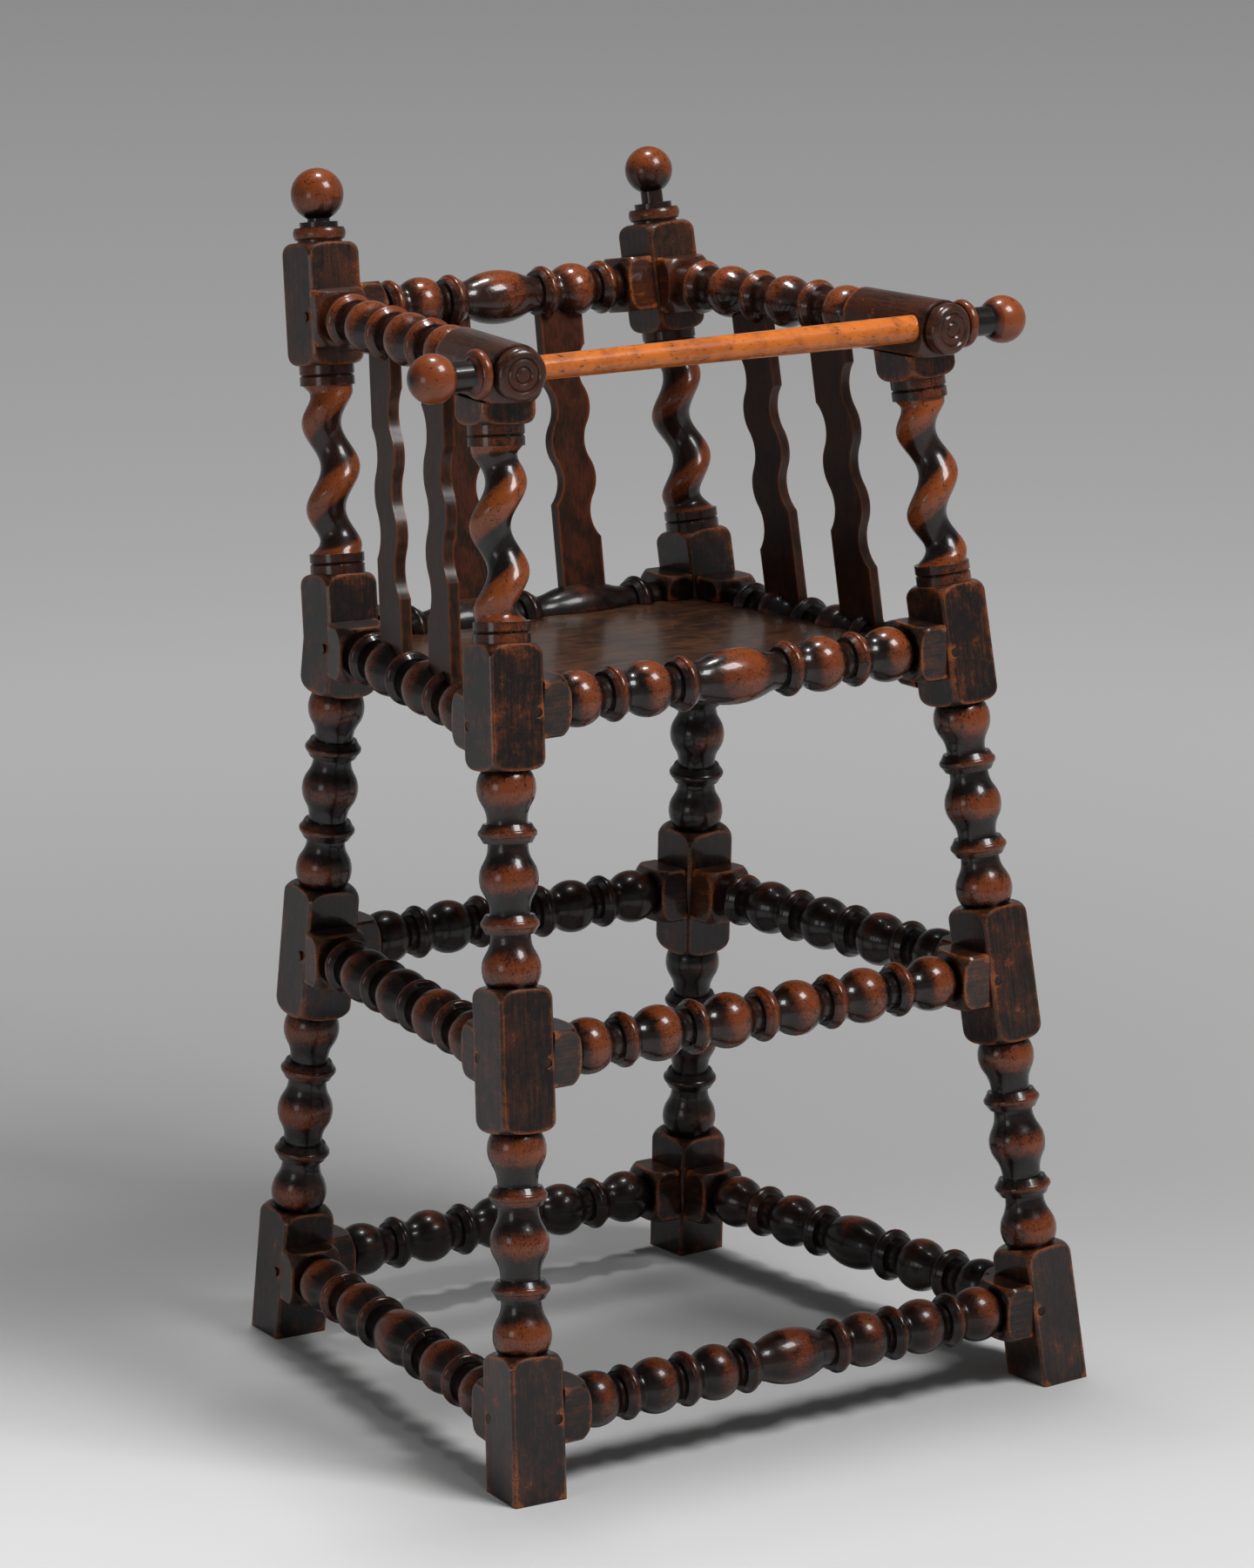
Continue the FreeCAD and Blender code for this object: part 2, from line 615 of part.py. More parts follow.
def finial_place(side):
    """Where one side's top block ends and where its finial ball has its centre."""
    crest_top = upright_axis(f"{CREST} + sizes.crest_block_{side}")
    return crest_top, f"({crest_top} + sizes.finial_rise_{side})"


def upright_turning(side):
    """A back upright from below the bend up to the finial, which is each side's own."""
    crest_top, finial = finial_place(side)
    ball = f"sizes.finial_ball_{side}"
    full = "(sizes.block_side / sqrt(2) - sizes.arris_wear)"
    seat_top = upright_axis(SEAT_TOP)
    shape = Turning()
    shape.to("0", "0")
    shape.to("0", full)
    shape.to(f"{seat_top} - sizes.shoulder", full, "sizes.shoulder")
    shape.to(seat_top, f"{full} - sizes.shoulder")
    shape.collar(seat_top, back_twist_low)
    shape.to(back_twist_low, "sizes.core_dia / 2")
    shape.to(back_twist_top, "sizes.core_dia / 2")
    shape.collar(back_twist_top, upright_axis(crest_low))
    shape.block(upright_axis(crest_low), crest_top, "sizes.block_side")
    ring_low = f"({crest_top} + sizes.step_width / 2)"
    ring_top = f"({ring_low} + sizes.finial_ring_width)"
    step_top = f"({ring_top} + sizes.step_width)"
    step = "sizes.finial_neck / 2 + 2 * sizes.step_rise"
    shape.to(crest_top, "sizes.finial_ring / 2 - sizes.step_rise")
    shape.to(ring_low, "sizes.finial_ring / 2 - sizes.step_rise")
    shape.rim(ring_low, ring_top, "sizes.finial_ring", "sizes.ring_bulge")
    shape.to(ring_top, step)
    shape.to(step_top, step)
    shape.to(step_top, "sizes.finial_neck / 2")
    half = f"sqrt(({ball} / 2)^2 - (sizes.finial_neck / 2)^2)"
    shape.to(f"{finial} - {half}", "sizes.finial_neck / 2", f"{ball} / 2")
    shape.to(f"{finial} + {ball} / 2", "0")
    return shape


front_slab = level_slab("front_post_height", 0, "sizes.cap_height")
floor_slab = level_slab("above_floor", 0, "sizes.crest_height")
stock = {}
posts = {}


def mitre(name, sign, above):
    """Everything above or below the plane where a back post bends."""
    reach = "(2 * sizes.back_foot_x)"
    bend = "sizes.bend_height"
    place = at(f"{sign} * {leg_x(bend)}", leg_y(bend), bend, 0, f"{-sign} * sizes.back_splay",
               "(sizes.back_kick - sizes.recline) / 2")
    place += " * " + at(f"-{reach} / 2", f"-{reach} / 2", "0" if above else "-2 * sizes.bend_height")
    return make("Part::Box", name, place, Length=reach, Width=reach, Height="2 * sizes.bend_height")


def post_stock(name, frame, length, limits, wide="sizes.block_side", deep="sizes.block_side"):
    """Stock along a post's axis, trimmed to its limits."""
    place = f"{frame} * " + at(f"-{wide} / 2", f"-{deep} / 2", 0)
    square = make("Part::Box", name + "_square", place, Length=wide, Width=deep, Height=length)
    return joined("Part::MultiCommon", name, [square] + limits)


# Rails are shouldered by stock that reaches past the post's face on both sides, so the cut is flat
SHOULDER_STOCK = {
    "cross": ("sizes.block_side", "(2 * sizes.block_side)"),
    "side": ("(2 * sizes.block_side)", "sizes.block_side"),
}
shoulders = {way: {} for way in SHOULDER_STOCK}


for side, sign in SIDES.items():
    below = "-sizes.spare"
    frame = at(f"{sign} * {front_x(below)}", front_y(below), below, 0,
               f"{-sign} * sizes.front_splay", "-sizes.front_rake")
    frame += " * " + at(0, 0, 0, turn=f"{sign} * sizes.front_turn")
    turning = turned(f"front_{side}_turning", front_sketch, frame, True)
    stock[f"front_{side}"] = post_stock(f"front_{side}_stock", frame, cap_top, [front_slab])
    for way, (wide, deep) in SHOULDER_STOCK.items():
        name = f"front_{side}_{way}_shoulder"
        shoulders[way][f"front_{side}"] = post_stock(name, frame, cap_top, [front_slab], wide, deep)
    body = joined("Part::MultiCommon", f"front_{side}_body", [turning, stock[f"front_{side}"]])
    rope = twist(f"front_{side}_twist", frame, front_twist_low, front_twist_top, f"sizes.phase_front_{side}")
    top = "sizes.cap_height"
    tenon = make(
        "Part::Cylinder", f"front_{side}_tenon",
        at(f"{sign} * {front_x(top)}", front_y(top), f"{top} - sizes.cap_block / 2"),
        Radius="sizes.post_tenon_dia / 2", Height="sizes.cap_block / 2 + sizes.post_tenon_length",
    )
    posts[f"front_{side}"] = joined("Part::MultiFuse", f"front_{side}_whole", [body, rope, tenon])

    frame = at(f"{sign} * {leg_x(below)}", leg_y(below), below, 0,
               f"{-sign} * sizes.back_splay", "sizes.back_kick")
    frame += " * " + at(0, 0, 0, turn=f"{sign} * sizes.back_turn")
    leg = turned(f"back_{side}_leg_turning", leg_sketch, frame, True)
    leg_top = post_axis("sizes.bend_height + sizes.spare", "leg_slant")
    below_bend = mitre(f"back_{side}_below_bend", sign, False)
    leg_limits = [floor_slab, below_bend]
    leg_stock = post_stock(f"back_{side}_leg_stock", frame, leg_top, leg_limits)
    leg_frame = frame
    low = "(sizes.bend_height - sizes.seat_block_below)"
    frame = at(f"{sign} * {upright_x(low)}", upright_y(low), low, 0,
               f"{-sign} * sizes.back_splay", "-sizes.recline")
    frame += " * " + at(0, 0, 0, turn=f"{sign} * sizes.back_turn")
    upright = upright_turning(side).made(f"back_{side}_upright_turning", frame, True)
    finial_top = f"{finial_place(side)[1]} + sizes.finial_ball_{side}"
    above_bend = mitre(f"back_{side}_above_bend", sign, True)
    upright_stock = post_stock(f"back_{side}_upright_stock", frame, finial_top, [above_bend])
    stock[f"back_{side}"] = joined("Part::MultiFuse", f"back_{side}_stock", [leg_stock, upright_stock])
    for way, (wide, deep) in SHOULDER_STOCK.items():
        name = f"back_{side}_{way}_shoulder"
        lower = post_stock(name + "_leg", leg_frame, leg_top, leg_limits, wide, deep)
        upper = post_stock(name + "_upright", frame, finial_top, [above_bend], wide, deep)
        shoulders[way][f"back_{side}"] = joined("Part::MultiFuse", name, [lower, upper])
    leg_body = joined("Part::MultiCommon", f"back_{side}_leg_body", [leg, leg_stock])
    upright_body = joined("Part::MultiCommon", f"back_{side}_upright_body", [upright, upright_stock])
    rope = twist(f"back_{side}_twist", frame, back_twist_low, back_twist_top, f"sizes.phase_back_{side}")
    posts[f"back_{side}"] = joined(
        "Part::MultiFuse", f"back_{side}_whole", [leg_body, upright_body, rope])


# Rails: turned from square stock, shouldered against the posts, tenoned and pegged
def rail_turning(span, pattern):
    """The outline of a rail from one post's axis to the other's."""
    lead = "(sizes.block_side / 2 - sizes.rail_lead)"
    square = "(sizes.block_side / 2 + sizes.square_length)"
    finish = f"({span} - {square})"
    full = "(sizes.rail_side / sqrt(2) - sizes.arris_wear)"
    shape = Turning()
    shape.to(lead, "0")
    shape.to(lead, full)
    shape.to(f"{square} - sizes.shoulder", full, "sizes.shoulder")
    shape.to(square, f"{full} - sizes.shoulder")
    shape.span(square, finish, pattern)
    shape.to(finish, f"{full} - sizes.shoulder", "sizes.shoulder")
    shape.to(f"{finish} + sizes.shoulder", full)
    shape.to(f"{span} - {lead}", full)
    shape.to(f"{span} - {lead}", "0")
    return shape


def joint(name, frame, span, at_end, corner, peg_side):
    """A pegged tenon at one end of a rail; its mortise goes to the post."""
    tenon_low = f"{span} - sizes.tenon_stop - sizes.tenon_root" if at_end else "sizes.tenon_stop"
    peg_along = f"{span} - sizes.peg_place" if at_end else "sizes.peg_place"
    tenon = bar(
        name + "_tenon", f"{frame} * " + at(tenon_low, 0, 0),
        "sizes.tenon_root", "sizes.tenon_thick", "sizes.tenon_height",
    )
    mortise = bar(
        name + "_mortise", f"{frame} * " + at(f"{tenon_low} - sizes.end_gap", 0, 0),
        "sizes.tenon_root + 2 * sizes.end_gap",
        "(sizes.tenon_thick + 2 * sizes.joint_gap)", "(sizes.tenon_height + 2 * sizes.joint_gap)",
    )
    inside = f"{-peg_side} * sizes.peg_reach"
    place = f"{frame} * " + at(peg_along, inside, 0, roll=f"{-90 * peg_side}")
    length = "sizes.peg_reach + sizes.block_side / 2 + sizes.peg_proud"
    peg = make("Part::Cylinder", name + "_peg", place, Radius="sizes.peg_dia / 2", Height=length)
    hole_place = f"{frame} * " + at(peg_along, f"{inside} - {peg_side} * sizes.end_gap", 0,
                                    roll=f"{-90 * peg_side}")
    hole = make(
        "Part::Cylinder", name + "_peg_hole", hole_place,
        Radius="sizes.peg_dia / 2 + sizes.peg_gap", Height=f"{length} + sizes.shoulder",
    )
    mortises[corner] += [mortise, hole]
    pegs[corner].append(peg)
    return tenon, hole


squares = {}


def rail(node, sketch, frame, span, way, corners, peg_side, slots=(), scribed=()):
    """A whole rail between two posts, with slots for what is let into it.

    Its ends are shouldered against the posts, and scribed to the rails that it meets there.
    """
    turning = turned(node + "_turning", sketch, frame)
    square = bar(node + "_square", frame, span, "sizes.rail_side")
    squares[node] = square
    body = joined("Part::MultiCommon", node + "_body", [turning, square])
    met = [shoulders[way][corner] for corner in corners] + [squares[other] for other in scribed]
    ends = joined("Part::MultiFuse", node + "_ends", met)
    shouldered = cut(node + "_shouldered", body, ends)
    tenons = []
    holes = list(slots)
    for at_end, corner in enumerate(corners):
        tenon, hole = joint(f"{node}_{corner}", frame, span, at_end, corner, peg_side)
        tenons.append(tenon)
        holes.append(hole)
    whole = joined("Part::MultiFuse", node + "_whole", [shouldered] + tenons)
    keep(node, cut(node, whole, joined("Part::Compound", node + "_holes", holes)))


def cross_frame(name, height, roll="0"):
    return at(f"-derived.{name}_half", f"derived.{name}_y", height, roll=roll)


def side_frame(name, sign, height):
    turn = f"90 deg + {sign} * derived.{name}_turn"
    return at(f"{sign} * derived.{name}_front_x", f"derived.{name}_front_y", height,
              turn, f"-derived.{name}_tilt")


# The seat board, and the groove that the seat rails have for it
def seat_plate(name, bite, low, thick):
    """A board with straight edges, narrower at the back, short of the rails' axes by its bite."""
    shift_x, shift_y = "sizes.front_foot_x", "sizes.front_foot_y"
    front_edge = f"(derived.seat_front_y + {bite} + {shift_y})"
    back_edge = f"(derived.seat_back_y - {bite} + {shift_y})"
    front_half = f"(derived.seat_side_front_x - {bite})"
    back_half = f"(derived.seat_side_back_x - {bite})"
    corners = [
        (f"({shift_x} - {front_half})", front_edge, None),
        (f"({shift_x} + {front_half})", front_edge, None),
        (f"({shift_x} + {back_half})", back_edge, None),
        (f"({shift_x} - {back_half})", back_edge, None),
    ]
    sketch = outline_sketch(name + "_outline", corners, at(f"-{shift_x}", f"-{shift_y}", low))
    plate = make("Part::Extrusion", name, LengthFwd=thick)
    plate.Base = sketch
    plate.DirMode = "Normal"
    plate.Solid = True
    return plate


seat_low = "(sizes.seat_top - sizes.seat_thick)"
board = seat_plate("seat_blank", "sizes.seat_bite", seat_low, "sizes.seat_thick")
groove = seat_plate(
    "seat_groove", "(sizes.seat_bite - sizes.seat_gap)",
    f"({seat_low} - sizes.seat_gap)", "sizes.seat_thick + 2 * sizes.seat_gap",
)
keep("seat_board", cut("seat_board", board, joined("Part::Compound", "seat_notches", list(stock.values()))))


# Splats: waved boards let into slots in the rail below and the rail above
def splat(node, foot, head, turn, first):
    """A splat from a point on one rail's axis to a point on another's, and its two slots.

    The turn is the way its width faces. Dips are cut from its two edges by turns, and first says
    whether the lowest of them is in the far edge (0) or in the near one (1).
    """
    run = [f"(({upper}) - ({lower}))" for lower, upper in zip(foot, head)]
    across = f"({run[0]} * cos({turn}) + {run[1]} * sin({turn}))"
    through = f"({run[1]} * cos({turn}) - {run[0]} * sin({turn}))"
    length = f"sqrt({run[0]}^2 + {run[1]}^2 + {run[2]}^2)"
    tilt = f"atan({across} / {run[2]})"
    frame = at(*foot, turn, tilt, f"-atan({through} * cos({tilt}) / {run[2]})")
    low, dip, wide = "sizes.splat_foot", "sizes.splat_dip", "sizes.splat_width"
    wave = f"(({length} - {low} - sizes.splat_head) / {SPLAT_WAVES})"
    swing = f"({dip} / 2)"
    arc = f"((({wave} / 2)^2 + {swing}^2) / (2 * {swing}))"
    reach = f"sqrt(2 * {arc} * {dip} - {dip}^2)"

    def waved(dips, edge, crossing):
        """One edge from the bottom up: dips at some waves and a crown at each wave between them."""
        spots = [(f"({low} + {dips[0] + 0.5} * {wave} - {reach})", edge, "-" + arc)]
        for index in range(dips[0] + 1, dips[-1] + 1):
            inward = "-" if index in dips else ""
            spots.append((f"({low} + {index} * {wave})", crossing, inward + arc))
        spots.append((f"({low} + {dips[-1] + 0.5} * {wave} + {reach})", edge, None))
        return spots

    far = waved(range(first, SPLAT_WAVES, 2), wide, f"({wide} - {swing})")
    near = waved(range(1 - first, SPLAT_WAVES, 2), "0", swing)
    arcs_below = [None] + [bend for _, _, bend in near[:-1]]
    near_down = [(along, out, bend) for (along, out, _), bend in zip(near, arcs_below)][::-1]
    stop, top = "sizes.splat_stop", f"({length} - sizes.splat_stop)"
    corners = [(stop, "0", None), (stop, wide, None)] + far
    corners += [(top, wide, None), (top, "0", None)] + near_down
    place = f"{frame} * " + at(f"-{wide} / 2", "sizes.splat_thick / 2", 0, roll="90")
    board = make("Part::Extrusion", node, LengthFwd="sizes.splat_thick")
    board.Base = outline_sketch(node + "_outline", corners, place, True)
    board.DirMode = "Normal"
    board.Solid = True
    keep(node, board)
    slots = []
    slot_wide, slot_thick = [f"({size} + 2 * sizes.splat_gap)" for size in (wide, "sizes.splat_thick")]
    starts = {"foot": f"{stop} - sizes.splat_gap", "head": f"{top} - sizes.splat_slot + sizes.splat_gap"}
    for name, start in starts.items():
        place = f"{frame} * " + at(f"-{slot_wide} / 2", f"-{slot_thick} / 2", start)
        slots.append(make("Part::Box", f"{node}_{name}_slot", place,
                          Length=slot_wide, Width=slot_thick, Height="sizes.splat_slot"))
    return slots


def part_way(start, end, share):
    """A value some share of the way from one value to another."""
    return f"({start} + {share} * ({end} - {start}))"


foot_slots = {"back": [], "left": [], "right": []}
head_slots = {"back": [], "left": [], "right": []}
for side, sign in SIDES.items():
    x = f"({sign} * sizes.back_splat_x + sizes.back_splat_shift)"
    foot = (x, "derived.seat_back_y", SEAT_BACK)
    head = (x, "derived.crest_y", CREST)
    first = 0 if side == "right" else 1
    low_slot, high_slot = splat(f"splat_back_{side}", foot, head, "0", first)
    foot_slots["back"].append(low_slot)
    head_slots["back"].append(high_slot)
    for place in ("front", "rear"):
        down = f"sizes.side_splat_low_{place} / derived.seat_side_span"
        foot = (
            f"{sign} * " + part_way("derived.seat_side_front_x", "derived.seat_side_back_x", down),
            part_way("derived.seat_side_front_y", "derived.seat_side_back_y", down),
            part_way("sizes.seat_side_front", "sizes.seat_side_back", down),
        )
        back = f"sizes.side_splat_top_{place}"
        head = (
            f"{sign} * (derived.arm_tip_x - {back} * sin(derived.arm_turn))",
            f"(derived.arm_tip_y + {back} * cos(derived.arm_turn))",
            ARM,
        )
        along_rail = f"(90 deg + {sign} * derived.seat_side_turn)"
        first = 0 if (side == "right") == (place == "rear") else 1
        low_slot, high_slot = splat(f"splat_{side}_{place}", foot, head, along_rail, first)
        foot_slots[side].append(low_slot)
        head_slots[side].append(high_slot)

# Rails across the chair: node, values, height, turning, posts, slots and roll
BEHIND = ("back_left", "back_right")
AHEAD = ("front_left", "front_right")
CROSS_RAILS = [
    ("stretcher_front_low", "low_front", LOW_FRONT, "oooBooo", AHEAD, [], "0"),
    ("stretcher_front_mid", "mid_front", MID, "oooooo", AHEAD, [], "0"),
    ("seat_rail_front", "seat_front", SEAT_FRONT, "ooBoo", AHEAD, [groove], "0"),
    ("stretcher_back_low", "low_back", LOW_BACK, "ooooo", BEHIND, [], "0"),
    ("stretcher_back_mid", "mid_back", MID, "ooooo", BEHIND, [], "0"),
    ("seat_rail_back", "seat_back", SEAT_BACK, "-BB-", BEHIND, [groove] + foot_slots["back"], "0"),
    ("crest_rail", "crest", CREST, "-oBo-", BEHIND, head_slots["back"], "-sizes.recline"),
]
for node, values, height, pattern, corners, slots, roll in CROSS_RAILS:
    span = f"derived.{values}_span"
    sketch = outline_sketch(node + "_outline", rail_turning(span, pattern).corners, at(0, 0, 0))
    peg_side = -1 if corners == AHEAD else 1
    rail(node, sketch, cross_frame(values, height, roll), span, "cross", corners, peg_side, slots)

# Rails along the sides: the same turning serves left and right
SIDE_RAILS = [
    ("stretcher_{}_low", "low_side", LOW_SIDE, "ooboo", False),
    ("stretcher_{}_mid", "mid_side", MID, "oooo-", False),
    ("seat_rail_{}", "seat_side", "sizes.seat_side_front", "ooo-", True),
]
for node, values, height, pattern, holds_seat in SIDE_RAILS:
    span = f"derived.{values}_span"
    sketch = outline_sketch(values + "_outline", rail_turning(span, pattern).corners, at(0, 0, 0))
    for side, sign in SIDES.items():
        slots = [groove] + foot_slots[side] if holds_seat else []
        corners = (f"front_{side}", f"back_{side}")
        scribed = [node.format(end) for end in ("front", "back")]
        frame = side_frame(values, sign, height)
        rail(node.format(side), sketch, frame, span, "side", corners, -sign, slots, scribed)

# Arms: a crowned block with a turned boss in front, turned behind, tenoned to the back post
arm_shape = Turning()
arm_shape.to("0", "0")
boss_edge = "(sizes.boss_dia / 2)"
for share in (0.3, 0.62):
    arm_shape.to("0", f"{share} * {boss_edge} - sizes.boss_line")
    arm_shape.to("sizes.boss_line", f"{share} * {boss_edge}")
    arm_shape.to("0", f"{share} * {boss_edge} + sizes.boss_line")
arm_shape.to("0", f"{boss_edge} - 3 * sizes.boss_line", "4 * sizes.boss_line")
arm_shape.to("3 * sizes.boss_line", boss_edge)
arm_shape.to("sizes.boss_length - sizes.boss_line", boss_edge)
arm_shape.to("sizes.boss_length", "sizes.boss_neck / 2")
arm_shape.to("sizes.boss_length + sizes.boss_line", "sizes.boss_neck / 2")
arm_shape.block("(sizes.boss_length + sizes.boss_line)", "sizes.arm_block", "sizes.arm_side")
arm_square = "(derived.arm_length - sizes.block_side / 2 - sizes.square_length / 2)"
arm_full = "(sizes.arm_side / sqrt(2) - sizes.arris_wear)"
arm_shape.span("sizes.arm_block", arm_square, "ooo-", "sizes.arm_ball")
arm_shape.to(arm_square, f"{arm_full} - sizes.shoulder", "sizes.shoulder")
arm_shape.to(f"{arm_square} + sizes.shoulder", arm_full)
arm_lead = "(derived.arm_length - sizes.block_side / 2 + sizes.rail_lead)"
arm_shape.to(arm_lead, arm_full)
arm_shape.to(arm_lead, "0")
arm_sketch = outline_sketch("arm_outline", arm_shape.corners, at(0, 0, 0))

for side, sign in SIDES.items():
    node = f"arm_{side}"
    frame = at(f"{sign} * derived.arm_tip_x", "derived.arm_tip_y", ARM, f"90 deg + {sign} * derived.arm_turn")
    turning = turned(node + "_turning", arm_sketch, frame)
    rise = "(sizes.arm_side - sizes.arm_crown + sqrt(sizes.arm_crown^2 - (sizes.arm_side / 2)^2))"
    section = [
        ("0", "0", None),
        ("0", rise, "sizes.arm_crown"),
        ("sizes.arm_side", rise, None),
        ("sizes.arm_side", "0", None),
    ]
    place = f"{frame} * " + at(0, "-sizes.arm_side / 2", "-sizes.arm_side / 2", "90", "0", "90")
    crowned = make("Part::Extrusion", node + "_crowned", LengthFwd="sizes.arm_block + sizes.shoulder")
    crowned.Base = outline_sketch(node + "_section", section, place)
    crowned.DirMode = "Normal"
    crowned.Solid = True
    behind = bar(node + "_behind", f"{frame} * " + at("sizes.arm_block", 0, 0),
                 "derived.arm_length - sizes.arm_block", "sizes.arm_side")
    blank = joined("Part::MultiFuse", node + "_blank", [crowned, behind])
    body = joined("Part::MultiCommon", node + "_body", [turning, blank])
    shouldered = cut(node + "_shouldered", body, shoulders["side"][f"back_{side}"])
    tenon, hole = joint(node + "_back", frame, "derived.arm_length", True, f"back_{side}", -sign)
    whole = joined("Part::MultiFuse", node + "_whole", [shouldered, tenon])
    rod_bore = make(
        "Part::Cylinder", node + "_rod_bore",
        at(f"{sign} * derived.rod_arm_x - sizes.arm_side", "derived.rod_y", ARM, "0", "90"),
        Radius=f"sizes.rod_{side}_dia / 2 + sizes.rod_gap", Height="2 * sizes.arm_side",
    )
    top = "sizes.cap_height"
    post_bore = make(
        "Part::Cylinder", node + "_post_bore",
        at(f"{sign} * {front_x(top)}", front_y(top), f"{top} - sizes.cap_block"),
        Radius="sizes.post_tenon_dia / 2 + sizes.joint_gap",
        Height="sizes.cap_block + sizes.post_tenon_length + sizes.end_gap",
    )
    holes = head_slots[side] + [hole, rod_bore, post_bore]
    keep(node, cut(node, whole, joined("Part::Compound", node + "_holes", holes)))

# Rod: a pin, straight through the left arm, thicker to the right, with its own knob
rod_shape = Turning()
rod_shape.to("0", "0")
rod_shape.to("0", "sizes.pin_dia / 2")
rod_shape.to("sizes.pin_length", "sizes.pin_dia / 2")
rod_shape.to("sizes.pin_length", "sizes.rod_left_dia / 2")
rod_shape.to("sizes.pin_length + sizes.rod_straight", "sizes.rod_left_dia / 2")
rod_end = "(sizes.pin_length + 2 * derived.flange_x)"
rod_shape.to(f"{rod_end} - sizes.rod_straight", "sizes.rod_right_dia / 2")
rod_shape.to(rod_end, "sizes.rod_right_dia / 2")
rod_shape.knob(rod_end)
rod_place = at("-derived.flange_x - sizes.pin_length", "derived.rod_y", ARM)
keep("rod", rod_shape.made("rod", rod_place))

# The loose knob that pushes on the rod's pin
knob_shape = Turning()
knob_shape.to("0", "sizes.pin_dia / 2 + sizes.pin_gap")
knob_shape.knob("0")
knob_depth = "(sizes.pin_length + sizes.end_gap)"
knob_shape.to(knob_depth, "0")
knob_shape.to(knob_depth, "sizes.pin_dia / 2 + sizes.pin_gap")
keep("rod_knob", knob_shape.made("rod_knob", at("-derived.flange_x", "derived.rod_y", ARM, "180")))

# Posts get their mortises, and each post its pegs
for corner, tools in mortises.items():
    tool = joined("Part::MultiFuse", corner + "_mortises", tools)
    keep("post_" + corner, cut("post_" + corner, posts[corner], tool))
    keep("pegs_" + corner, joined("Part::Compound", "pegs_" + corner, pegs[corner]))

doc.recompute()
for thing in doc.Objects:
    if {"Invalid", "Error"} & set(thing.State):
        raise RuntimeError(f"{thing.Label} failed: {thing.State}")
os.makedirs("parts", exist_ok=True)
for node, thing in sorted(parts.items()):
    shape = thing.Shape
    if shape.isNull() or not shape.isValid() or not shape.Solids:
        raise RuntimeError(f"{node} has no sound solid")
for node, thing in sorted(parts.items()):
    thing.Shape.exportStep(f"parts/{node}.step")
    print(node, len(thing.Shape.Solids), round(thing.Shape.Volume))
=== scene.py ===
# Dresses a turned wooden high chair: old waxed wood, black in the hollows and rubbed red on the crowns.
# Metres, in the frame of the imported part: +Z up, the front faces -Y.
import math

import bpy
from mathutils import Matrix, Vector


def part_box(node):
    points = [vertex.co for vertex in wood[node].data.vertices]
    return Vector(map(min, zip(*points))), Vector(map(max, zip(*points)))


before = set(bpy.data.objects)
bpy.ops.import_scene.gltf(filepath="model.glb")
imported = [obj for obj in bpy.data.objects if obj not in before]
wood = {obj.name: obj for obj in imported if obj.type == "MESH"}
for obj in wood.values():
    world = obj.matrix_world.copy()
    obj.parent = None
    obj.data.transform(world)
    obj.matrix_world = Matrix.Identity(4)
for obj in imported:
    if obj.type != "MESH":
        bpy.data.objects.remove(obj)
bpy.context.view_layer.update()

MM = 0.001
SIDES = {"left": -1, "right": 1}

# Where the posts stand on the floor, and how they lean in degrees
FRONT_FOOT = (237 * MM, -210 * MM)
FRONT_SPLAY = 3.8
FRONT_RAKE = 8.5
BACK_FOOT = (189 * MM, 210 * MM)
BACK_SPLAY = 2.5
BACK_RAKE = 5.4
UPRIGHT_RAKE = 9.0
BEND_HEIGHT = 558 * MM

# Heights on the posts, in millimetres: square blocks, capitals and rope twists
LEG_BLOCKS = [(-20, 102), (260.5, 363.5), (517, 607)]
CAPITAL = (760, 800)
CREST_BLOCKS = {"left": (762, 853), "right": (762, 845.5)}
FRONT_TWIST = (622, 745)
BACK_TWIST = (622, 747)

# Lengths of the square ends of rails and arms, in millimetres, and how far a mask runs past an end
RAIL_SQUARE = 44.75
ARM_SQUARE = 100
RAIL_SPARE = 60
ARM_SPARE = 20

# Turned sizes that the finishes follow
POST_RADIUS = 21.6 * MM
RAIL_RADIUS = 20.8 * MM
ARM_RADIUS = 20 * MM
ARM_TIP = 48 * MM
ARM_HEIGHT = 801 * MM
KNOB_START = 209 * MM
KNOB_BALL = 27 * MM

# How far each piece is rubbed by hands, from 0 to 1, and how red its dark parts are
FRONT_POST_RUB = 0.62
FRONT_POST_WARM = 0.25
BACK_POST_RUB = {"left": 0.5, "right": 0.42}
BACK_POST_WARM = 0.15
SIDE_RAIL_RUB = {"left": 0.45, "right": 0.42}
CREST_WARM = 0.7
ARM_RUB = 0.72
ARM_WARM = 0.8

# How wear and painted shade spread over turned and square work
CROWN_BAND = 3.2 * MM
HOLLOW_SHADE_REACH = 13 * MM
EDGE_REACH = 6 * MM
ARRIS_FROM = 25.2 * MM
ARRIS_FULL = 27.4 * MM
BLOCK_END = 9
COLLAR = 15

# The paper room around the chair, with painted light: brighter to the left, greyer far off, and a painted
# glow away from the chair
ROOM_WIDTH = 36.0
ROOM_HEIGHT = 9.0
ROOM_COVE = 3.0
FLOOR_AWAY = (0.556, 0.831)
FLOOR_ACROSS = (0.831, -0.556)
PAPER_PAINTED_LIT = (0.93, 0.93, 0.93)
PAPER_PALE = (0.74, 0.74, 0.74)
PAPER_FAR_PAINTED_SHADE = (0.42, 0.42, 0.42)
PAPER_NO_GLOW = (0.0, 0.0, 0.0)
PAPER_PAINTED_GLOW = (0.275, 0.275, 0.275)

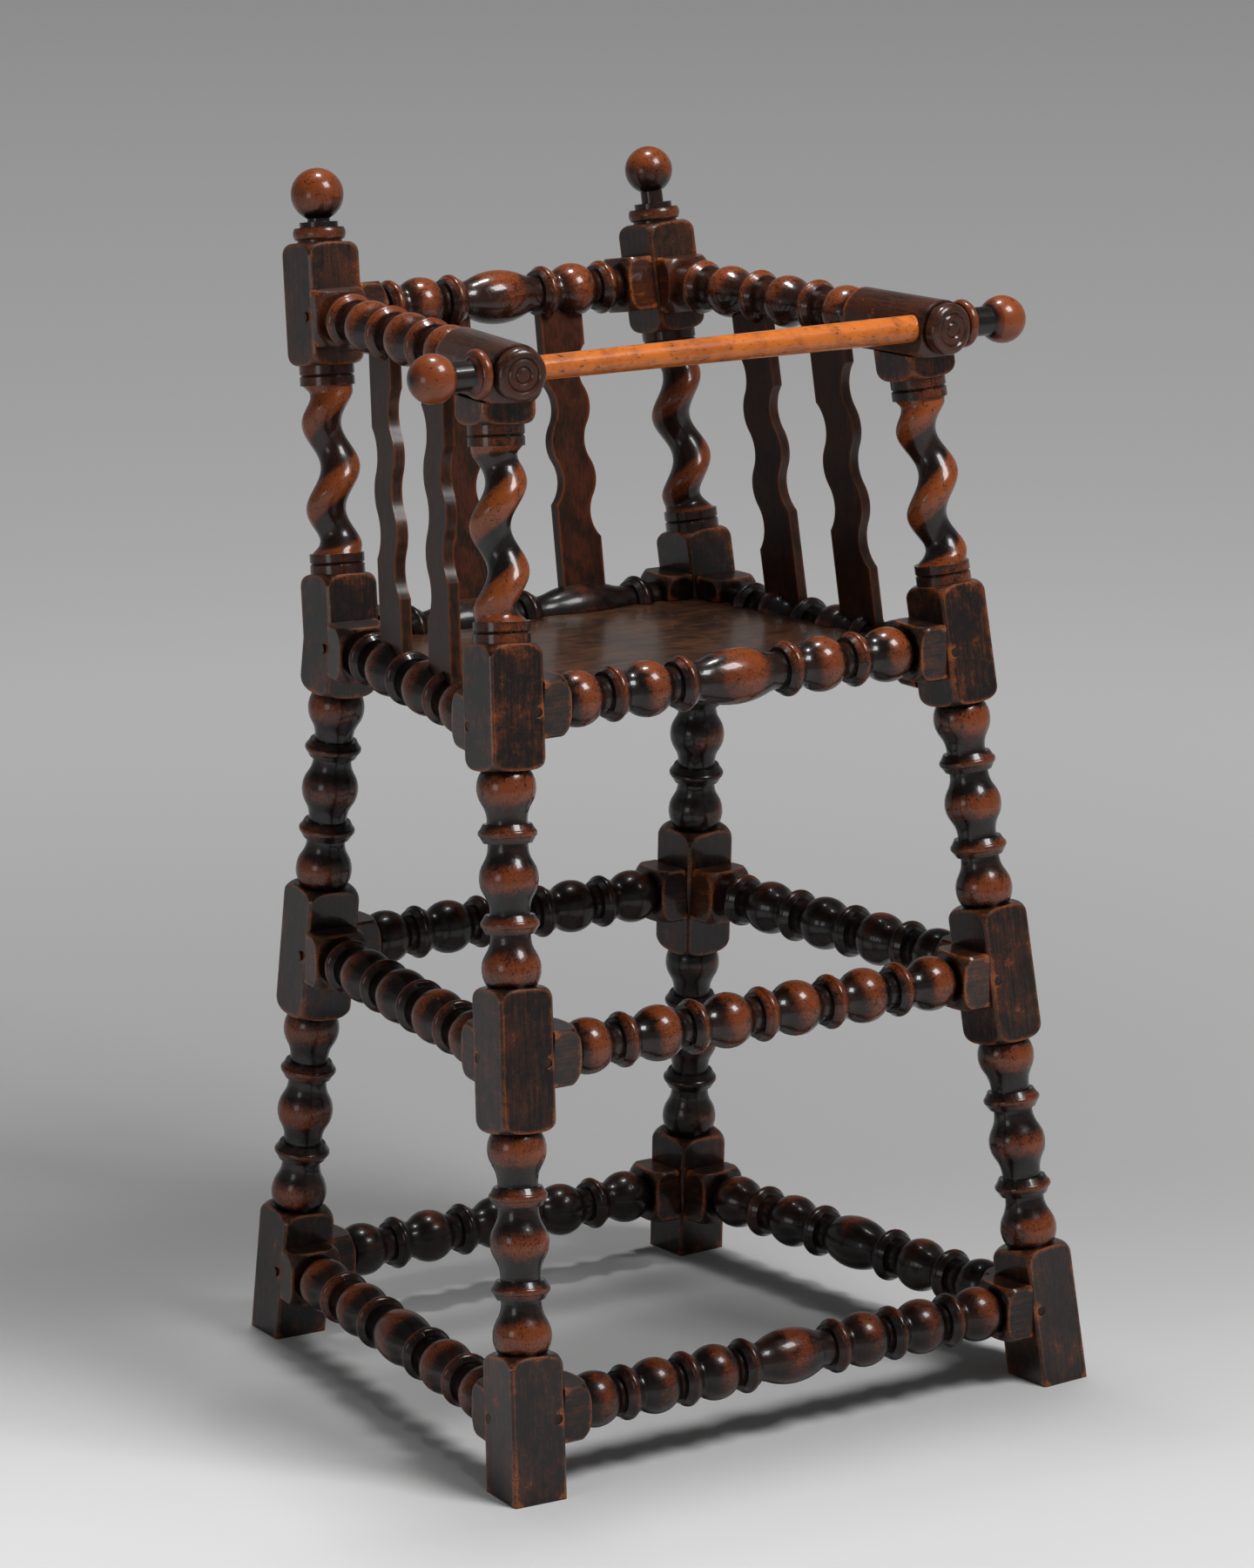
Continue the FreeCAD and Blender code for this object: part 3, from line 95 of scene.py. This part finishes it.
# The lamps: direction from the chair's middle, distance, side of the lamp and power in watts
LAMPS = [
    ("key_lamp", (0.25, -0.56, 0.81), 2.8, 1.0, 58),
    ("side_lamp", (-0.95, -0.28, 0.16), 2.6, 0.8, 5),
    ("top_lamp", (0.06, 0.16, 1.0), 2.6, 0.5, 32),
]
LAMP_AIM = (0, 0, 0.5)
WORLD_GREY = (0.1, 0.1, 0.1, 1)

# The camera at the photograph's angle
CAMERA_PLACE = (-2.3562, -3.5102, 1.451)
CAMERA_RIGHT = (0.8314, -0.5557, 0.0)
CAMERA_UP = (0.1276, 0.1908, 0.9734)
CAMERA_BACK = (-0.5409, -0.8092, 0.2295)
CAMERA_LENS = 132.2
CAMERA_SENSOR = 36

# Colours of the old wood, as linear red, green and blue
PATINA = (0.0065, 0.0038, 0.0027)
UMBER = (0.021, 0.0080, 0.0038)
BROWN = (0.055, 0.0175, 0.0068)
MAHOGANY = (0.072, 0.0170, 0.0058)
RUSSET = (0.120, 0.0240, 0.0064)
HONEY = (0.280, 0.0630, 0.0140)
AMBER = (0.430, 0.1060, 0.0180)
AMBER_PALE = (0.620, 0.1600, 0.0210)
SEAT_BROWN = (0.092, 0.0345, 0.0118)


class Value:
    """Something that changes over a surface, with the sums that a finish is mixed by."""

    def __init__(self, finish, socket):
        self.finish = finish
        self.socket = socket

    def sum(self, operation, first, second):
        return self.finish.node("ShaderNodeMath", {"operation": operation}, {0: first, 1: second})

    def __add__(self, other):
        return self.sum("ADD", self, other)

    def __radd__(self, other):
        return self.sum("ADD", other, self)

    def __sub__(self, other):
        return self.sum("SUBTRACT", self, other)

    def __rsub__(self, other):
        return self.sum("SUBTRACT", other, self)

    def __mul__(self, other):
        return self.sum("MULTIPLY", self, other)

    def __rmul__(self, other):
        return self.sum("MULTIPLY", other, self)

    def __gt__(self, other):
        return self.sum("GREATER_THAN", self, other)

    def __lt__(self, other):
        return self.sum("LESS_THAN", self, other)

    def __abs__(self):
        return self.sum("ABSOLUTE", self, 0.0)

    def most(self, other):
        return self.sum("MAXIMUM", self, other)

    def ramp(self, low, high):
        """0 below low, 1 above high, eased between them."""
        settings = {"interpolation_type": "SMOOTHSTEP"}
        return self.finish.node("ShaderNodeMapRange", settings, {0: self, 1: low, 2: high, 3: 0.0, 4: 1.0})

    def within(self, low, high):
        """1 between two limits, 0 outside them."""
        return (self > low) * (self < high)


class Finish:
    """A wood finish in the making."""

    def __init__(self, name):
        self.material = bpy.data.materials.new(name)
        self.material.use_nodes = True
        self.tree = self.material.node_tree
        self.shader = self.tree.nodes["Principled BSDF"]

    def node(self, kind, settings=None, inputs=None, output=0):
        """One node: its settings are set first, then its sockets get values or links."""
        made = self.tree.nodes.new(kind)
        for name, setting in (settings or {}).items():
            setattr(made, name, setting)
        for key, entry in (inputs or {}).items():
            if isinstance(entry, Value):
                self.tree.links.new(entry.socket, made.inputs[key])
            else:
                made.inputs[key].default_value = entry
        return Value(self, made.outputs[output])

    def set(self, **sockets):
        """Fills the shader's sockets, named with underscores for spaces."""
        for name, entry in sockets.items():
            socket = self.shader.inputs[name.replace("_", " ")]
            if isinstance(entry, Value):
                self.tree.links.new(entry.socket, socket)
            else:
                socket.default_value = entry

    def place(self):
        return self.node("ShaderNodeTexCoord", output="Object")

    def along(self, axis):
        """The place on a piece seen from its own axis: the last direction runs along it."""
        start, way, stretch = axis
        turn = way.to_track_quat("Z", "Y").to_euler()
        sockets = {"Vector": self.place(), "Location": start, "Rotation": turn, "Scale": (1, 1, stretch)}
        return self.node("ShaderNodeMapping", {"vector_type": "TEXTURE"}, sockets)

    def stretched(self, place, scale):
        return self.node("ShaderNodeMapping", {"vector_type": "POINT"}, {"Vector": place, "Scale": scale})

    def split(self, place):
        made = self.node("ShaderNodeSeparateXYZ", inputs={"Vector": place})
        return [Value(self, socket) for socket in made.socket.node.outputs]

    def join(self, x, y, z):
        return self.node("ShaderNodeCombineXYZ", inputs={0: x, 1: y, 2: z})

    def off_axis(self, place):
        flat = self.node("ShaderNodeVectorMath", {"operation": "MULTIPLY"}, {0: place, 1: (1, 1, 0)})
        return self.node("ShaderNodeVectorMath", {"operation": "LENGTH"}, {0: flat}, "Value")

    def facing(self, way):
        """1 where the surface looks a given way, -1 where it looks the other way."""
        normal = self.node("ShaderNodeNewGeometry", output="Normal")
        sockets = {0: normal, 1: Vector(way).normalized()}
        return self.node("ShaderNodeVectorMath", {"operation": "DOT_PRODUCT"}, sockets, "Value")

    def choose(self, first, second, share):
        return self.node("ShaderNodeMix", {"data_type": "VECTOR"}, {0: share, 4: first, 5: second}, 1)

    def mix(self, first, second, share):
        """One colour laid over another."""
        sockets = {0: share}
        for key, colour in ((6, first), (7, second)):
            sockets[key] = colour if isinstance(colour, Value) else (*colour, 1.0)
        return self.node("ShaderNodeMix", {"data_type": "RGBA"}, sockets, 2)

    def darken(self, colour, share):
        """A colour multiplied down towards black."""
        grey = self.join(share, share, share)
        settings = {"data_type": "RGBA", "blend_type": "MULTIPLY"}
        return self.node("ShaderNodeMix", settings, {0: 1.0, 6: colour, 7: grey}, 2)

    def noise(self, place, size, detail=3.0, rough=0.5, warp=0.0):
        """Clouds of a given size, from 0 to 1."""
        sockets = {
            "Vector": place, "Scale": 1 / size, "Detail": detail, "Roughness": rough, "Distortion": warp}
        return self.node("ShaderNodeTexNoise", None, sockets)

    def open_air(self, reach):
        """1 in the open, falling to 0 in corners, in grooves and near other pieces and the floor: it paints
        shade there and keeps wear out of it.
        """
        return self.node("ShaderNodeAmbientOcclusion", {"samples": 6}, {"Distance": reach}, "AO")

    def edges(self, reach):
        """1 along outward edges and thin rims, 0 on broad faces."""
        settings = {"samples": 8, "inside": True, "only_local": True}
        full = self.node("ShaderNodeAmbientOcclusion", settings, {"Distance": reach}, "AO")
        return (1 - full).ramp(0.1, 0.42)

    def soft_normal(self, radius):
        return self.node("ShaderNodeBevel", {"samples": 4}, {"Radius": radius})

    def bump(self, height, distance, strength, normal):
        sockets = {"Height": height, "Distance": distance, "Strength": strength, "Normal": normal}
        return self.node("ShaderNodeBump", None, sockets)

    def grain(self, place, fine, length):
        """Streaks that run along the piece."""
        return self.noise(self.stretched(place, (1, 1, length)), fine, 4.0, 0.6)

    def waxed(self, colour, roughness, relief, coat=0.45, haze=0.08):
        """Waxed wood: a soft sheen under a thin clear skin, with grain and dents in relief."""
        self.set(Base_Color=colour, Roughness=roughness, Normal=relief, Specular_IOR_Level=0.25)
        self.set(Coat_Weight=coat, Coat_Roughness=haze, Coat_IOR=1.5)
        return self.material


def slope(lean, splay):
    """How far a leaning post moves back per metre of height."""
    return math.tan(math.radians(lean)) / math.cos(math.radians(splay))


def front_spot(height, side):
    """A place on a front post's middle line."""
    x = FRONT_FOOT[0] - height * math.tan(math.radians(FRONT_SPLAY))
    return Vector((SIDES[side] * x, FRONT_FOOT[1] + height * slope(FRONT_RAKE, FRONT_SPLAY), height))


def back_spot(height, side):
    """A place on a back post's middle line, which bends at the seat."""
    x = BACK_FOOT[0] - height * math.tan(math.radians(BACK_SPLAY))
    leg = min(height, BEND_HEIGHT)
    y = BACK_FOOT[1] - leg * slope(BACK_RAKE, BACK_SPLAY) + (height - leg) * slope(UPRIGHT_RAKE, BACK_SPLAY)
    return Vector((SIDES[side] * x, y, height))


def post_axis(low, high):
    """A post's middle line, measured by height above the floor."""
    way = (high - low) / (high.z - low.z)
    return low - way * low.z, way, way.length


def rail_axis(start, end):
    """A rail's middle line, measured by length from its first end."""
    return start, (end - start).normalized(), 1.0


def blend(first, second, share):
    """A fixed colour part of the way between two others."""
    return tuple(a + (b - a) * share for a, b in zip(first, second))


def turned_wood(name, axes, radius, blocks, rub, warm, outward, twist=None, finial=None):
    """Turned work: black in the necks and rubbed through to red on the crowns, with dark square blocks.

    rub says how far the crowns are worn, and warm how much red shows in the dark parts."""
    finish = Finish(name)
    place = finish.along(axes[0])
    height = finish.split(finish.place())[2]
    if len(axes) > 1:
        place = finish.choose(place, finish.along(axes[1]), height > BEND_HEIGHT)
    length = finish.split(place)[2]
    out = finish.off_axis(place)
    clouds = finish.noise(place, 36 * MM, 2.0, 0.5)
    patches = finish.noise(place, 8 * MM, 5.0, 0.68, 0.3)
    flecks = finish.noise(finish.stretched(place, (1, 1, 0.6)), 1.1 * MM, 3.0, 0.6)
    streaks = finish.grain(place, 2.0 * MM, 0.07)
    air = finish.open_air(HOLLOW_SHADE_REACH)
    edges = finish.edges(EDGE_REACH)
    touched = finish.facing(outward)

    # Where the stock is still square, and the last few millimetres of each block
    square = None
    ends = None
    for low, high in blocks:
        part = length.within(low * MM, high * MM)
        near = part - length.within((low + BLOCK_END) * MM, (high - BLOCK_END) * MM)
        square = part if square is None else square + part
        ends = near if ends is None else ends + near

    # Crowns are rubbed through, most on the side that hands reach, and necks and thin rims stay black
    lift = -2.2 * edges
    ragged = (clouds - 0.5) * 2.4 + (patches - 0.5) * 3.4 + (flecks - 0.5) * 3.0
    if twist:
        rope = length.within(twist[0] * MM, twist[1] * MM)
        collars = length.within((twist[0] - COLLAR) * MM, (twist[1] + COLLAR) * MM) - rope
        lift = lift + rope * (out * 140 - 0.6) - collars * 0.7
        ragged = ragged * (1 - 0.5 * rope)
    if finial:
        cap = length.ramp((finial + 42) * MM, (finial + 56) * MM)
        lift = lift + (length > finial * MM) * 1.6 + cap * 4.6
    crown = (out - (radius - CROWN_BAND)) * (1 / CROWN_BAND)
    wear = crown + lift + touched * 0.7 + ragged + 2.4 * (rub - 0.8)
    redness = (clouds - 0.5) * 2 + (patches - 0.5) + warm
    if len(axes) > 1:
        redness = redness + height.ramp(0.58, 0.66) * 0.45
    base = finish.mix(PATINA, MAHOGANY, redness * 0.55 - 0.08)
    turned = finish.mix(base, blend(MAHOGANY, RUSSET, rub), wear.ramp(-0.2, 0.4) * 0.85)
    turned = finish.mix(turned, blend(RUSSET, HONEY, rub), wear.ramp(0.35, 0.85))
    turned = finish.mix(turned, blend(RUSSET, AMBER, rub), wear.ramp(1.1, 2.6) * 0.6)
    rims = edges + (patches - 0.5) * 4 + (out - radius) * (1 / (3 * MM))
    rims = rims.ramp(0.5, 0.9) * air.ramp(0.35, 0.7)
    turned = finish.mix(turned, blend(RUSSET, HONEY, rub), rims * (0.25 + 0.6 * rub))

    # Square blocks are dark and scuffed, with the arrises worn to the bare wood and lightened to amber as a
    # painted highlight
    scuffs = (patches - 0.5) * 2.4 + (flecks - 0.5) * 1.6 + (streaks - 0.5) * 0.8
    brown = redness * 0.6 + (streaks - 0.5) * 1.2 + (patches - 0.5) * 1.2 + 0.12
    face = finish.mix(PATINA, blend(BROWN, MAHOGANY, warm), brown.ramp(0.0, 0.7))
    rubbed = scuffs + (clouds - 0.5) * 1.4
    if twist:
        rubbed = rubbed + height.ramp(0.45, 0.56) * 0.5 * rub
    face = finish.mix(face, blend(RUSSET, HONEY, rub), rubbed.ramp(0.3, 0.65) * 0.7 * rub)
    arris_wear_and_highlight = edges * out.ramp(ARRIS_FROM, ARRIS_FULL).most(ends)
    worn = (arris_wear_and_highlight + scuffs * 0.9 + (clouds - 0.5) * 1.2).ramp(0.36, 0.74)
    # Arrises: real wear to the bare wood, made lighter amber as a painted highlight
    face = finish.mix(face, AMBER, worn * air.ramp(0.3, 0.7) * (0.3 + 0.6 * rub))
    colour = finish.mix(turned, face, square)

    # Pores and grain over all of it, then painted shade in the hollows, at the joints and near the floor
    specks = flecks.ramp(0.52, 0.58) * patches.ramp(0.45, 0.55)
    colour = finish.darken(colour, (0.8 + 0.4 * streaks) * (1 - 0.85 * specks))
    # Painted shade: darker wherever other surfaces come close
    colour = finish.darken(colour, 0.2 + 0.8 * air.ramp(0.15, 0.7))

    dents = finish.noise(place, 15 * MM, 2.0, 0.5)
    relief = finish.bump(dents, 1.0 * MM, 0.25, finish.soft_normal(0.4 * MM + square * (2.2 * MM)))
    relief = finish.bump(streaks - specks * 0.7 + patches * 0.3, 0.2 * MM, 0.08 + 0.22 * rub, relief)
    roughness = 0.27 - 0.1 * rub + 0.14 * patches + 0.06 * square
    return finish.waxed(colour, roughness, relief, 0.12 + 0.5 * rub)


def board_wood(name, axis, dark, light, rub, gloss=0.14, blotch=1.0):
    """Sawn boards with the grain along them and paler edges."""
    finish = Finish(name)
    place = finish.along(axis)
    clouds = finish.noise(place, 45 * MM, 4.0, 0.55)
    patches = finish.noise(place, 12 * MM, 4.0, 0.6, 0.4)
    streaks = finish.grain(place, 1.5 * MM, 0.045)
    air = finish.open_air(18 * MM)
    shade = 0.5 + (streaks - 0.5) * (0.9 - 0.55 * blotch)
    shade = shade + ((clouds - 0.5) * 0.65 + (patches - 0.5) * 0.4) * blotch
    colour = finish.mix(dark, light, shade.ramp(0.40, 0.62))
    worn = (finish.edges(3.5 * MM) + (patches - 0.5) * 0.5).ramp(0.3, 0.7)
    colour = finish.mix(colour, HONEY, worn * air.ramp(0.3, 0.85) * rub)
    specks = finish.noise(finish.stretched(place, (1, 1, 0.12)), 1.7 * MM, 2.0, 0.5).ramp(0.6, 0.7)
    colour = finish.darken(colour, (0.8 + 0.4 * streaks) * (1 - 0.65 * specks))
    # Painted shade: darker in corners and where other pieces come close
    colour = finish.darken(colour, 0.25 + 0.75 * air.ramp(0.1, 0.75))
    relief = finish.bump(clouds, 1.0 * MM, 0.18, finish.soft_normal(0.4 * MM))
    relief = finish.bump(streaks - specks * 0.6, 0.22 * MM, 0.3, relief)
    return finish.waxed(colour, 0.32 + 0.16 * patches, relief, gloss, haze=0.2)


def rod_wood(name, axis):
    """The bar and its knobs: amber, kept bright by hands, with short dark flecks and black necks."""
    finish = Finish(name)
    place = finish.along(axis)
    across = abs(finish.split(finish.place())[0])
    out = finish.off_axis(place)
    clouds = finish.noise(place, 26 * MM, 4.0, 0.6)
    patches = finish.noise(place, 8 * MM, 4.0, 0.62, 0.5)
    streaks = finish.grain(place, 1.4 * MM, 0.08)
    flecks = finish.noise(finish.stretched(place, (1, 1, 0.3)), 1.6 * MM, 2.0, 0.5)
    air = finish.open_air(10 * MM)
    bar = finish.mix(AMBER_PALE, AMBER, (clouds * 0.6 + patches * 0.4).ramp(0.44, 0.62))
    tip = max(abs(corner[0]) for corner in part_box("rod_knob"))
    ball = across > tip - KNOB_BALL
    rubbed = out + (clouds - 0.5) * (5 * MM) + (patches - 0.5) * (6 * MM) + ball * (9 * MM)
    knob = finish.mix(PATINA, RUSSET, rubbed.ramp(11.5 * MM, 14.5 * MM))
    knob = finish.mix(knob, HONEY, (rubbed + (flecks - 0.5) * (14 * MM)).ramp(14.5 * MM, 22 * MM) * 0.75)
    colour = finish.mix(bar, knob, across > KNOB_START)
    specks = flecks.ramp(0.58, 0.66) * patches.ramp(0.45, 0.62)
    colour = finish.darken(colour, (0.76 + 0.48 * streaks) * (1 - 0.82 * specks))
    # Painted shade: darker in the necks and where other pieces come close
    colour = finish.darken(colour, 0.1 + 0.9 * air.ramp(0.25, 0.8))
    relief = finish.bump(streaks - specks * 0.6, 0.2 * MM, 0.3, finish.soft_normal(0.4 * MM))
    return finish.waxed(colour, 0.26 + 0.14 * patches, relief)


def dress(node, material):
    wood[node].data.materials.clear()
    wood[node].data.materials.append(material)


def dress_posts():
    for side, sign in SIDES.items():
        post = f"post_front_{side}"
        axis = post_axis(front_spot(0, side), front_spot(0.8, side))
        blocks = LEG_BLOCKS + [CAPITAL]
        dress(post, turned_wood(
            post + "_wood", [axis], POST_RADIUS, blocks, FRONT_POST_RUB, FRONT_POST_WARM,
            (sign * 0.3, -1, 0.2), FRONT_TWIST))
        post = f"post_back_{side}"
        leg = post_axis(back_spot(0, side), back_spot(BEND_HEIGHT, side))
        upright = post_axis(back_spot(BEND_HEIGHT, side), back_spot(0.85, side))
        blocks = LEG_BLOCKS + [CREST_BLOCKS[side]]
        dress(post, turned_wood(
            post + "_wood", [leg, upright], POST_RADIUS, blocks, BACK_POST_RUB[side], BACK_POST_WARM,
            (sign, -0.2, 0.2), BACK_TWIST, CREST_BLOCKS[side][1]))


def dress_rails():
    across = {
        "stretcher_front_low": (front_spot, 58, 0.4), "stretcher_front_mid": (front_spot, 312, 0.64),
        "seat_rail_front": (front_spot, 560, 0.62), "stretcher_back_low": (back_spot, 54, 0.28),
        "stretcher_back_mid": (back_spot, 312, 0.24), "seat_rail_back": (back_spot, 556, 0.22),
        "crest_rail": (back_spot, 800, 0.72),
    }
    lengthwise = {"stretcher_{}_low": (54, 54), "stretcher_{}_mid": (312, 312), "seat_rail_{}": (547, 555)}
    rails = []
    for node, (spot, height, rub) in across.items():
        ends = spot(height * MM, "left"), spot(height * MM, "right")
        rails.append((node, ends, rub, (0, -0.5 if spot is front_spot else 0.3, 0.9)))
    for side, sign in SIDES.items():
        for node, heights in lengthwise.items():
            ends = front_spot(heights[0] * MM, side), back_spot(heights[1] * MM, side)
            rails.append((node.format(side), ends, SIDE_RAIL_RUB[side], (sign, 0, 0.7)))
    for node, ends, rub, outward in rails:
        length = (ends[1] - ends[0]).length / MM
        blocks = [(-RAIL_SPARE, RAIL_SQUARE), (length - RAIL_SQUARE, length + RAIL_SPARE)]
        warm = CREST_WARM if node == "crest_rail" else 0.16 + rub * 0.3
        dress(node, turned_wood(
            node + "_wood", [rail_axis(*ends)], RAIL_RADIUS, blocks, rub, warm, outward))


def dress_arms():
    for side, sign in SIDES.items():
        front = front_spot(ARM_HEIGHT, side)
        back = back_spot(ARM_HEIGHT, side)
        tip = front + (front - back).normalized() * ARM_TIP
        length = (back - tip).length / MM
        blocks = [(-ARM_SPARE, ARM_SQUARE), (length - RAIL_SQUARE, length + RAIL_SPARE)]
        node = f"arm_{side}"
        dress(node, turned_wood(
            node + "_wood", [rail_axis(tip, back)], ARM_RADIUS, blocks, ARM_RUB, ARM_WARM,
            (sign * 0.3, 0, 1)))


def dress_boards():
    """Splats, pegs, the bar with its knob, and the seat."""
    boards = {
        "splat_back": (UMBER, MAHOGANY, 0.5), "splat_left": (UMBER, BROWN, 0.4),
        "splat_right": (UMBER, BROWN, 0.4), "pegs": (PATINA, UMBER, 0.05),
    }
    upright = Vector((0, 0, 1))
    sideways = Vector((1, 0, 0))
    for node in wood:
        corner = Vector(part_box(node)[0])
        for start, (dark, light, rub) in boards.items():
            if node.startswith(start):
                dress(node, board_wood(node + "_wood", (corner, upright, 1.0), dark, light, rub))
    middle = Vector((0, sum(corner[1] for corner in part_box("rod")) / 2, ARM_HEIGHT))
    for node in ("rod", "rod_knob"):
        dress(node, rod_wood(node + "_wood", (middle, sideways, 1.0)))
    seat = (Vector(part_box("seat_board")[0]), sideways, 1.0)
    dress("seat_board", board_wood("seat_wood", seat, UMBER, SEAT_BROWN, 0.2, gloss=0.6, blotch=0.65))


def sweep_of_paper():
    """A pale floor that curves up into a backdrop far away on every side, painted brighter to the left and
    greyer with distance, with a painted glow away from the chair.
    """
    bpy.ops.object.select_all(action="DESELECT")
    bpy.ops.mesh.primitive_cube_add(size=1, location=(0, 0, ROOM_HEIGHT / 2))
    sweep = bpy.context.object
    sweep.name = "sweep"
    sweep.scale = (ROOM_WIDTH, ROOM_WIDTH, ROOM_HEIGHT)
    bpy.ops.object.transform_apply(location=True, rotation=False, scale=True)
    bpy.ops.object.mode_set(mode="EDIT")
    bpy.ops.mesh.select_mode(type="FACE")
    bpy.ops.mesh.select_all(action="DESELECT")
    bpy.ops.object.mode_set(mode="OBJECT")
    for face in sweep.data.polygons:
        face.select = face.center.z > ROOM_HEIGHT * 0.9
    bpy.ops.object.mode_set(mode="EDIT")
    bpy.ops.mesh.delete(type="FACE")
    bpy.ops.mesh.select_mode(type="EDGE")
    bpy.ops.mesh.select_all(action="DESELECT")
    bpy.ops.object.mode_set(mode="OBJECT")
    for edge in sweep.data.edges:
        edge.select = all(sweep.data.vertices[end].co.z < 0.01 for end in edge.vertices)
    bpy.ops.object.mode_set(mode="EDIT")
    bpy.ops.mesh.bevel(offset=ROOM_COVE, segments=16, affect="EDGES")
    bpy.ops.mesh.select_all(action="SELECT")
    bpy.ops.mesh.normals_make_consistent(inside=True)
    bpy.ops.object.mode_set(mode="OBJECT")
    bpy.ops.object.shade_smooth()
    paper = Finish("sweep_paper")
    place = paper.place()
    spot = paper.split(place)
    depth = spot[0] * FLOOR_AWAY[0] + spot[1] * FLOOR_AWAY[1]
    across = spot[0] * FLOOR_ACROSS[0] + spot[1] * FLOOR_ACROSS[1]
    fibres = paper.noise(place, 0.6, 3.0)
    # Painted light: the floor is whiter towards the left
    near = paper.mix(PAPER_PAINTED_LIT, PAPER_PALE, across.ramp(-0.7, 0.3))
    # Painted falloff: the paper turns grey with distance from the front
    colour = paper.mix(near, PAPER_FAR_PAINTED_SHADE, (depth + (fibres - 0.5) * 0.1).ramp(-0.5, 0.55))
    # Painted glow for camera and glossy rays, rising away from the chair and dimming far off
    seen = paper.node("ShaderNodeLightPath", output="Is Camera Ray")
    seen = seen.most(paper.node("ShaderNodeLightPath", output="Is Glossy Ray"))
    away = paper.off_axis(place)
    far = away.ramp(0.1, 2.7) * (1 - 0.25 * away.ramp(4.0, 14.0))
    glow = paper.mix(PAPER_NO_GLOW, PAPER_PAINTED_GLOW, far * seen)
    paper.set(Base_Color=colour, Roughness=0.9, Specular_IOR_Level=0.1)
    paper.set(Emission_Color=glow, Emission_Strength=1.0)
    sweep.data.materials.append(paper.material)


def lamps_and_room():
    middle = Vector(LAMP_AIM)
    for name, way, distance, size, power in LAMPS:
        lamp = bpy.data.objects.new(name, bpy.data.lights.new(name, "AREA"))
        lamp.data.shape = "SQUARE"
        lamp.data.size = size
        lamp.data.energy = power
        lamp.location = middle + Vector(way).normalized() * distance
        lamp.rotation_euler = (lamp.location - middle).to_track_quat("Z", "Y").to_euler()
        bpy.context.scene.collection.objects.link(lamp)
    world = bpy.data.worlds.new("room")
    world.use_nodes = True
    world.node_tree.nodes["Background"].inputs["Color"].default_value = WORLD_GREY
    bpy.context.scene.world = world


def camera():
    """The camera at the photograph's angle."""
    taken = bpy.data.objects.new("camera", bpy.data.cameras.new("camera"))
    bpy.context.scene.collection.objects.link(taken)
    turn = Matrix((CAMERA_RIGHT, CAMERA_UP, CAMERA_BACK)).transposed().to_4x4()
    taken.matrix_world = Matrix.Translation(CAMERA_PLACE) @ turn
    taken.data.lens = CAMERA_LENS
    taken.data.sensor_width = CAMERA_SENSOR
    bpy.context.scene.camera = taken
    bpy.context.scene.view_settings.view_transform = "Standard"


dress_posts()
dress_rails()
dress_arms()
dress_boards()
sweep_of_paper()
lamps_and_room()
camera()
